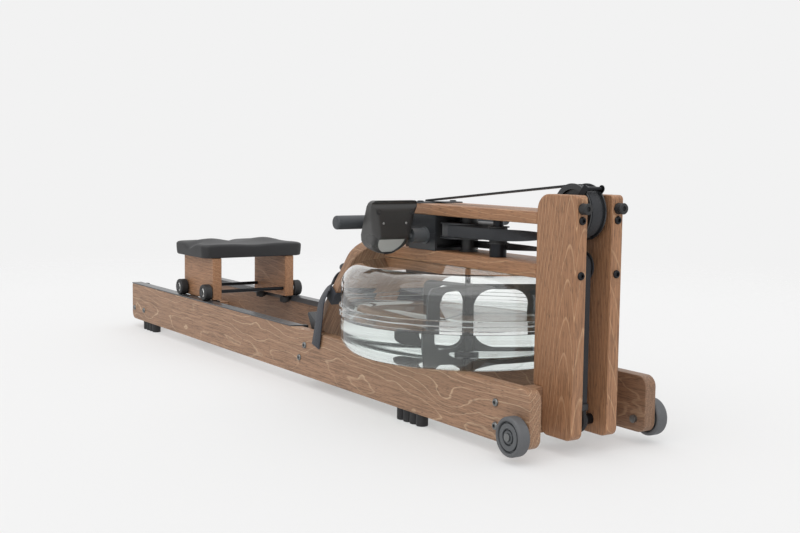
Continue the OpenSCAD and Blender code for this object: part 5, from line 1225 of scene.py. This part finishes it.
# %% The pad's rings: top, rolled rim, side, lower rim and foot
# spread is a ring's size as a share of the outline, drop is how far it lies under the top,
# and part is its height as a share of the pad's.
RIM_START, RIM_RISE, SIDE_PARTS, FOOT_PART = 0.93, 0.008, [0.66, 0.42, 0.24], 0.16
roll = np.radians(np.linspace(0, 90, 9))
spread = np.concatenate([np.linspace(0, RIM_START, 30)[:-1], RIM_START + (1 - RIM_START) * np.sin(roll),
                         [0.998, 0.994, 0.990], 0.955 + 0.033 * np.cos(roll), [0.90, 0.5, 0.0]])
drop = np.concatenate([np.zeros(29), RIM_RISE * (1 - np.cos(roll)), np.zeros(15)])
part = np.concatenate([np.ones(38), SIDE_PARTS, FOOT_PART * (1 - np.sin(roll)), np.zeros(3)])
xy = spread[:, None, None] * around[None]
below_rim = np.where(part < 1, RIM_RISE, 0.0)
z = part[:, None] * (pad_height(xy[..., 0], xy[..., 1]) - drop[:, None] - below_rim[:, None])
pad_grid = np.concatenate([xy + PAD[:2], (pad_low[2] + z)[..., None]], axis=-1)
pad_faces = grid_faces(len(spread), PAD_COLUMNS, True)[:, ::-1].tolist()
pad_cover = moulded("seat_pad_cover", (0.014, 0.014, 0.0155), 0.54, 1500.0, 0.0001, 0.12)
seat_cushion = welded_piece("seat_cushion", (pad_grid, pad_faces), pad_cover, "seat", "seat_pad", SOFT)
print("pad rings:", len(spread), "points:", len(seat_cushion.data.vertices))

# %% [markdown]
# ## Monitor shell
# The monitor hangs on its hinge with its display towards the rower. Its rear shell is a
# loft: level sections whose back corners are round, narrower and narrower towards the
# round lower end. A block with subdivision would pull in its flat bezel edge, while the
# loft keeps it. Two screws show, and a bare pale plate; the two deep screw holes are dark
# discs with a thin rim, whose black is painted shade.

# %% Widths and depths of the shell
HINGE = np.array([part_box("monitor_back")[1].x - 0.020, middle_of("monitor_case")[1], 0.396])
TOP_HALF, DRAW, ABOVE, BELOW = 0.059, 0.013, 0.079, 0.040
WAIST, TOP_BEND, SHRINK = -0.008, 0.014, 0.010


def half_width(z):
    """Half the shell's width at a height over the hinge: an ellipse below, straight sides
    that lean out, and a small rounding at the top."""
    ellipse = (TOP_HALF - DRAW) * np.sqrt(np.clip(1 - ((z - WAIST) / (BELOW + WAIST)) ** 2, 0, 1))
    sides = TOP_HALF - DRAW + DRAW * (z - WAIST) / (ABOVE - TOP_BEND - WAIST)
    top = TOP_HALF - SHRINK + SHRINK * np.sqrt(np.clip(1 - ((z - ABOVE + TOP_BEND) / TOP_BEND) ** 2, 0, 1))
    return np.where(z < WAIST, ellipse, np.where(z < ABOVE - TOP_BEND, sides, top))


def back_x(z):
    """The shell's rear: nearly upright over the hinge, and sloping forward under it. A
    bevel is taken off its top afterwards."""
    return np.interp(z, [-BELOW, -0.004, ABOVE], [-0.012, 0.0155, 0.020])


def front_x(z):
    """Where the shell meets the display's bezel, which is a straight slope, or its own
    lower front where that lies further back."""
    own = np.interp(z, [-BELOW, -0.027, -0.011, 0.002], [-0.014, -0.039, -0.049, -0.047])
    return np.maximum(-0.0353 + (z + 0.0056) * 0.6494, own)


print("shell:", 2 * TOP_HALF, "m wide at its top,", round(ABOVE + BELOW, 3), "m tall")

# %% Rear shell
MOST_BEND, BEVEL_START, BEVEL_SLOPE, CURVE_START, CURVE_RATE = 0.016, 0.016, 0.6, 0.004, 150
dip = np.radians(np.linspace(88, 0, 26))
level = np.concatenate([WAIST - (BELOW + WAIST) * np.sin(dip), np.linspace(WAIST, ABOVE - TOP_BEND, 16)[1:],
                        ABOVE - TOP_BEND + 0.0138 * np.sin(np.radians(np.linspace(0, 90, 10)))[1:]])
half, rear, fore = half_width(level), back_x(level), front_x(level)
# The bevel is a straight slope near the top, and a parabola over the last millimetres.
slope_off = BEVEL_SLOPE * np.clip(level - ABOVE + BEVEL_START, 0, None)
curve_off = np.clip(level - ABOVE + CURVE_START, 0, None) ** 2 * CURVE_RATE
rear = np.maximum(rear - slope_off - curve_off, fore + 0.0002)
bend = np.minimum(np.minimum(MOST_BEND, half * 0.9), (rear - fore) * 0.9)
quarter_turn = np.radians(np.linspace(0, 90, 9))
MIRROR = [1, -1]
sections = []
for h, b, f, r in zip(half, rear, fore, bend):
    side_line = np.column_stack([np.linspace(f, b - r, 6), np.full(6, h)])[:-1]
    corner = np.column_stack([b - r + r * np.sin(quarter_turn), h - r + r * np.cos(quarter_turn)])
    flat = np.column_stack([np.full(9, b), np.linspace(h - r, -h + r, 9)])[1:-1]
    sections.append(np.concatenate([side_line, corner, flat, corner[::-1] * MIRROR,
                                    side_line[::-1] * MIRROR]))
sections = np.array(sections)
columns = sections.shape[1]
heights = np.broadcast_to(level[:, None, None], sections.shape[:2] + (1,))
shell = np.concatenate([sections, heights], axis=-1)
shell_faces = closed_faces(len(level), columns, turned_over=True)
make_piece("monitor_rear_shell", HINGE + shell, shell_faces, shell_moulding, "monitor", "monitor_back",
           np.radians(50))
print("shell sections:", len(level), "of", columns, "points")

# %% Screws, and painted shade for the screw holes in the shell
screw_steel = moulded("monitor_screw_steel", (0.50, 0.50, 0.49), 0.3, 1800.0, 0.00002, 0.1, 1.0)
SCREW_Y, SCREW_Z, HOLE_Y, HOLE_Z = 0.029, 0.0295, 0.0425, 0.054
# A screw hole is a black disc with a thin rim, a hair proud of the shell: its black is painted shade for the
# hole's depth.
HOLE_SHADE_DISC = [(0.0, 0.0), (0.0062, 0.0), (0.0062, 0.0006), (0.0056, 0.0010), (0.0050, 0.0006), (0.0048, 0.0002),
        (0.0, 0.0002)]
screws = [bolt_head(HINGE + [back_x(SCREW_Z) - 0.0002, y, SCREW_Z], X_AXIS, 0.0026, 0.0012, 24)
          for y in (-SCREW_Y, SCREW_Y)]
welded_piece("monitor_screws", joined(screws), screw_steel, "monitor")
# Black discs at the screw holes, as painted shade.
hole_shade_discs = [turned(HOLE_SHADE_DISC, HINGE + [back_x(HOLE_Z) - 0.0003, y, HOLE_Z], X_AXIS, 32) for y in (-HOLE_Y, HOLE_Y)]
welded_piece("monitor_screw_hole_shade", joined(hole_shade_discs), black_rubber, "monitor")
print("screws:", len(screws), "screw holes:", len(hole_shade_discs))

# %% The bare plate
PLATE_ROWS, PLATE_COLUMNS, PLATE_SHIFT, PLATE_THICKNESS = 16, 13, -0.005, 0.0008
plate_z = np.linspace(-0.0345, -0.006, PLATE_ROWS)
plate_half = np.minimum(half_width(plate_z) - 0.014, 0.032)
plate_x = back_x(plate_z) + PLATE_THICKNESS / 2
plate_y = plate_half[:, None] * np.linspace(-1, 1, PLATE_COLUMNS) + PLATE_SHIFT
front = np.stack(np.broadcast_arrays(plate_x[:, None], plate_y, plate_z[:, None]), -1)
plate = np.concatenate([front, front[:, ::-1] - [PLATE_THICKNESS, 0, 0]], axis=1)
plate_faces = closed_faces(PLATE_ROWS, 2 * PLATE_COLUMNS)
make_piece("monitor_plate", HINGE + plate, plate_faces, pale_moulding, "monitor")
print("plate:", round(float(2 * plate_half.max()), 3), "m wide")

# %% [markdown]
# ## Handle grips
# Two rubber sleeves are pushed over the handle's wooden core, with a rolled inner rim and
# a domed end. They are turned as hollow sleeves, because a solid bar would fill the core.

# %% Handle grips
grip_low, grip_high = box_arrays("handle_grips")
GRIP = (grip_low + grip_high) / 2
GRIP_R, GRIP_START, GRIP_BORE, GRIP_CAP = (grip_high[2] - grip_low[2]) / 2, 0.022, 0.0121, 0.006
grip_length = grip_high[1] - GRIP_START
grip = np.concatenate([[(GRIP_BORE, 0.0), (GRIP_R - 0.002, 0.0)],
                       arc((GRIP_R - 0.002, 0.002), 0.002, -90, 0, 5),
                       arc((GRIP_R - 0.005, grip_length - 0.005), 0.005, 0, 90, 8),
                       [(0.004, grip_length), (0.0, grip_length), (0.0, grip_length - GRIP_CAP),
                        (GRIP_BORE, grip_length - GRIP_CAP), (GRIP_BORE, 0.0)]])
grips = [turned(grip, (GRIP[0], side * GRIP_START, GRIP[2]), (0.0, side, 0.0), 64) for side in (-1, 1)]
welded_piece("handle_grip_pair", joined(grips), grip_rubber, "handle", "handle_grips")

# %% [markdown]
# ## Studio
# The floor and the background are the same pale grey. A backdrop could be bent up behind
# the object, but from behind it would show its edge. Wide suns and an even world light
# give the floor the same brightness everywhere, which is the background's own, so only
# the shadow shows on it. One big soft lamp adds a highlight.

# %% Floor
BACKGROUND, AMBIENT, GLOW, FLOOR_MARGIN = 0.888, 0.60, 0.38, 0.006
FADE_START, FADE_END = 1.9, 4.2


def studio_floor(colour, glow):
    """A backlit disc near the object: it glows a little, reflects the rest, and fades with
    distance, as its opacity falls from 1 to 0 between two radii."""
    material, tree, shader = blank_material("studio_floor")
    length = add_node(tree, "ShaderNodeVectorMath", operation="LENGTH")
    feed(tree, length, {0: object_coordinates(tree)})
    opacity = ramp(tree, length.outputs["Value"], (FADE_START, FADE_END, 1.0, 0.0))
    feed(tree, shader, {"Base Color": (colour, colour, colour, 1.0), "Roughness": 0.9,
                        "Specular IOR Level": 0.1, "Emission Color": (1.0, 1.0, 1.0, 1.0),
                        "Emission Strength": glow, "Alpha": opacity})
    points, faces = turned([(0.0, 0.0), (1.5, 0.0), (3.0, 0.0), (4.4, 0.0)], (0, 0, 0), (0, 0, -1), 64)
    mesh = bpy.data.meshes.new("floor")
    mesh.from_pydata(points.reshape(-1, 3).tolist(), [], faces)
    mesh.materials.append(material)
    weld(shown(mesh))


print("background:", BACKGROUND, "of which the floor glows", GLOW)

# %% Lamps
def aimed_light(light, toward, place=(0.0, 0.0, 0.0)):
    """Holds a light at place so that it shines along -toward: its Z axis is toward, its X
    axis is level, and its Y axis is their cross product."""
    away = np.asarray(toward, float) / np.linalg.norm(toward)
    side = np.cross(UP, away)
    side /= np.linalg.norm(side)
    shown(light, (side, np.cross(away, side), away), place)
    return away


def lamp(name, place, target, size, power):
    """A square area lamp at place that faces target."""
    light = bpy.data.lights.new(name, "AREA")
    light.shape = "RECTANGLE"
    light.size, light.size_y = size
    light.energy = power
    aimed_light(light, np.subtract(place, target), place)


def sun(name, toward, spread, power):
    """A sun in the direction toward, whose disc spreads over an angle and softens shadows.
    It gives back the light that falls on a level floor: power * toward's height."""
    light = bpy.data.lights.new(name, "SUN")
    light.angle = np.radians(spread)
    light.energy = power
    return aimed_light(light, toward)[2] * power


level_light = sun("soft_sun_right", (0.5, -1.0, 1.5), 70.0, 1.15)
level_light += sun("soft_sun_left", (-0.4, 0.8, 1.6), 80.0, 0.60)
level_light += sun("soft_sun_front", (1.0, -0.2, 0.8), 60.0, 0.45)
lamp("soft_top", (0.4, -0.6, 2.9), (0.3, 0.0, 0.3), (2.2, 1.2), 2.0)
ALBEDO = (BACKGROUND + FLOOR_MARGIN - GLOW) / (level_light / np.pi + AMBIENT)
studio_floor(ALBEDO, GLOW)
print("floor colour:", round(float(ALBEDO), 3))

# %% World
world = bpy.data.worlds.new("studio")
bpy.context.scene.world = world
world.use_nodes = True
sky = world.node_tree
path = add_node(sky, "ShaderNodeLightPath")
seen = math_node(sky, "MAXIMUM", path.outputs["Is Camera Ray"], path.outputs["Is Transmission Ray"])
seen = math_node(sky, "MAXIMUM", seen, path.outputs["Is Glossy Ray"])
strength = math_node(sky, "MULTIPLY_ADD", seen, BACKGROUND - AMBIENT, AMBIENT)
feed(sky, sky.nodes["Background"], {"Color": (1.0, 1.0, 1.0, 1.0), "Strength": strength})
print("world: lights at", AMBIENT, "and is seen at", BACKGROUND)

# %% [markdown]

# %% [markdown]
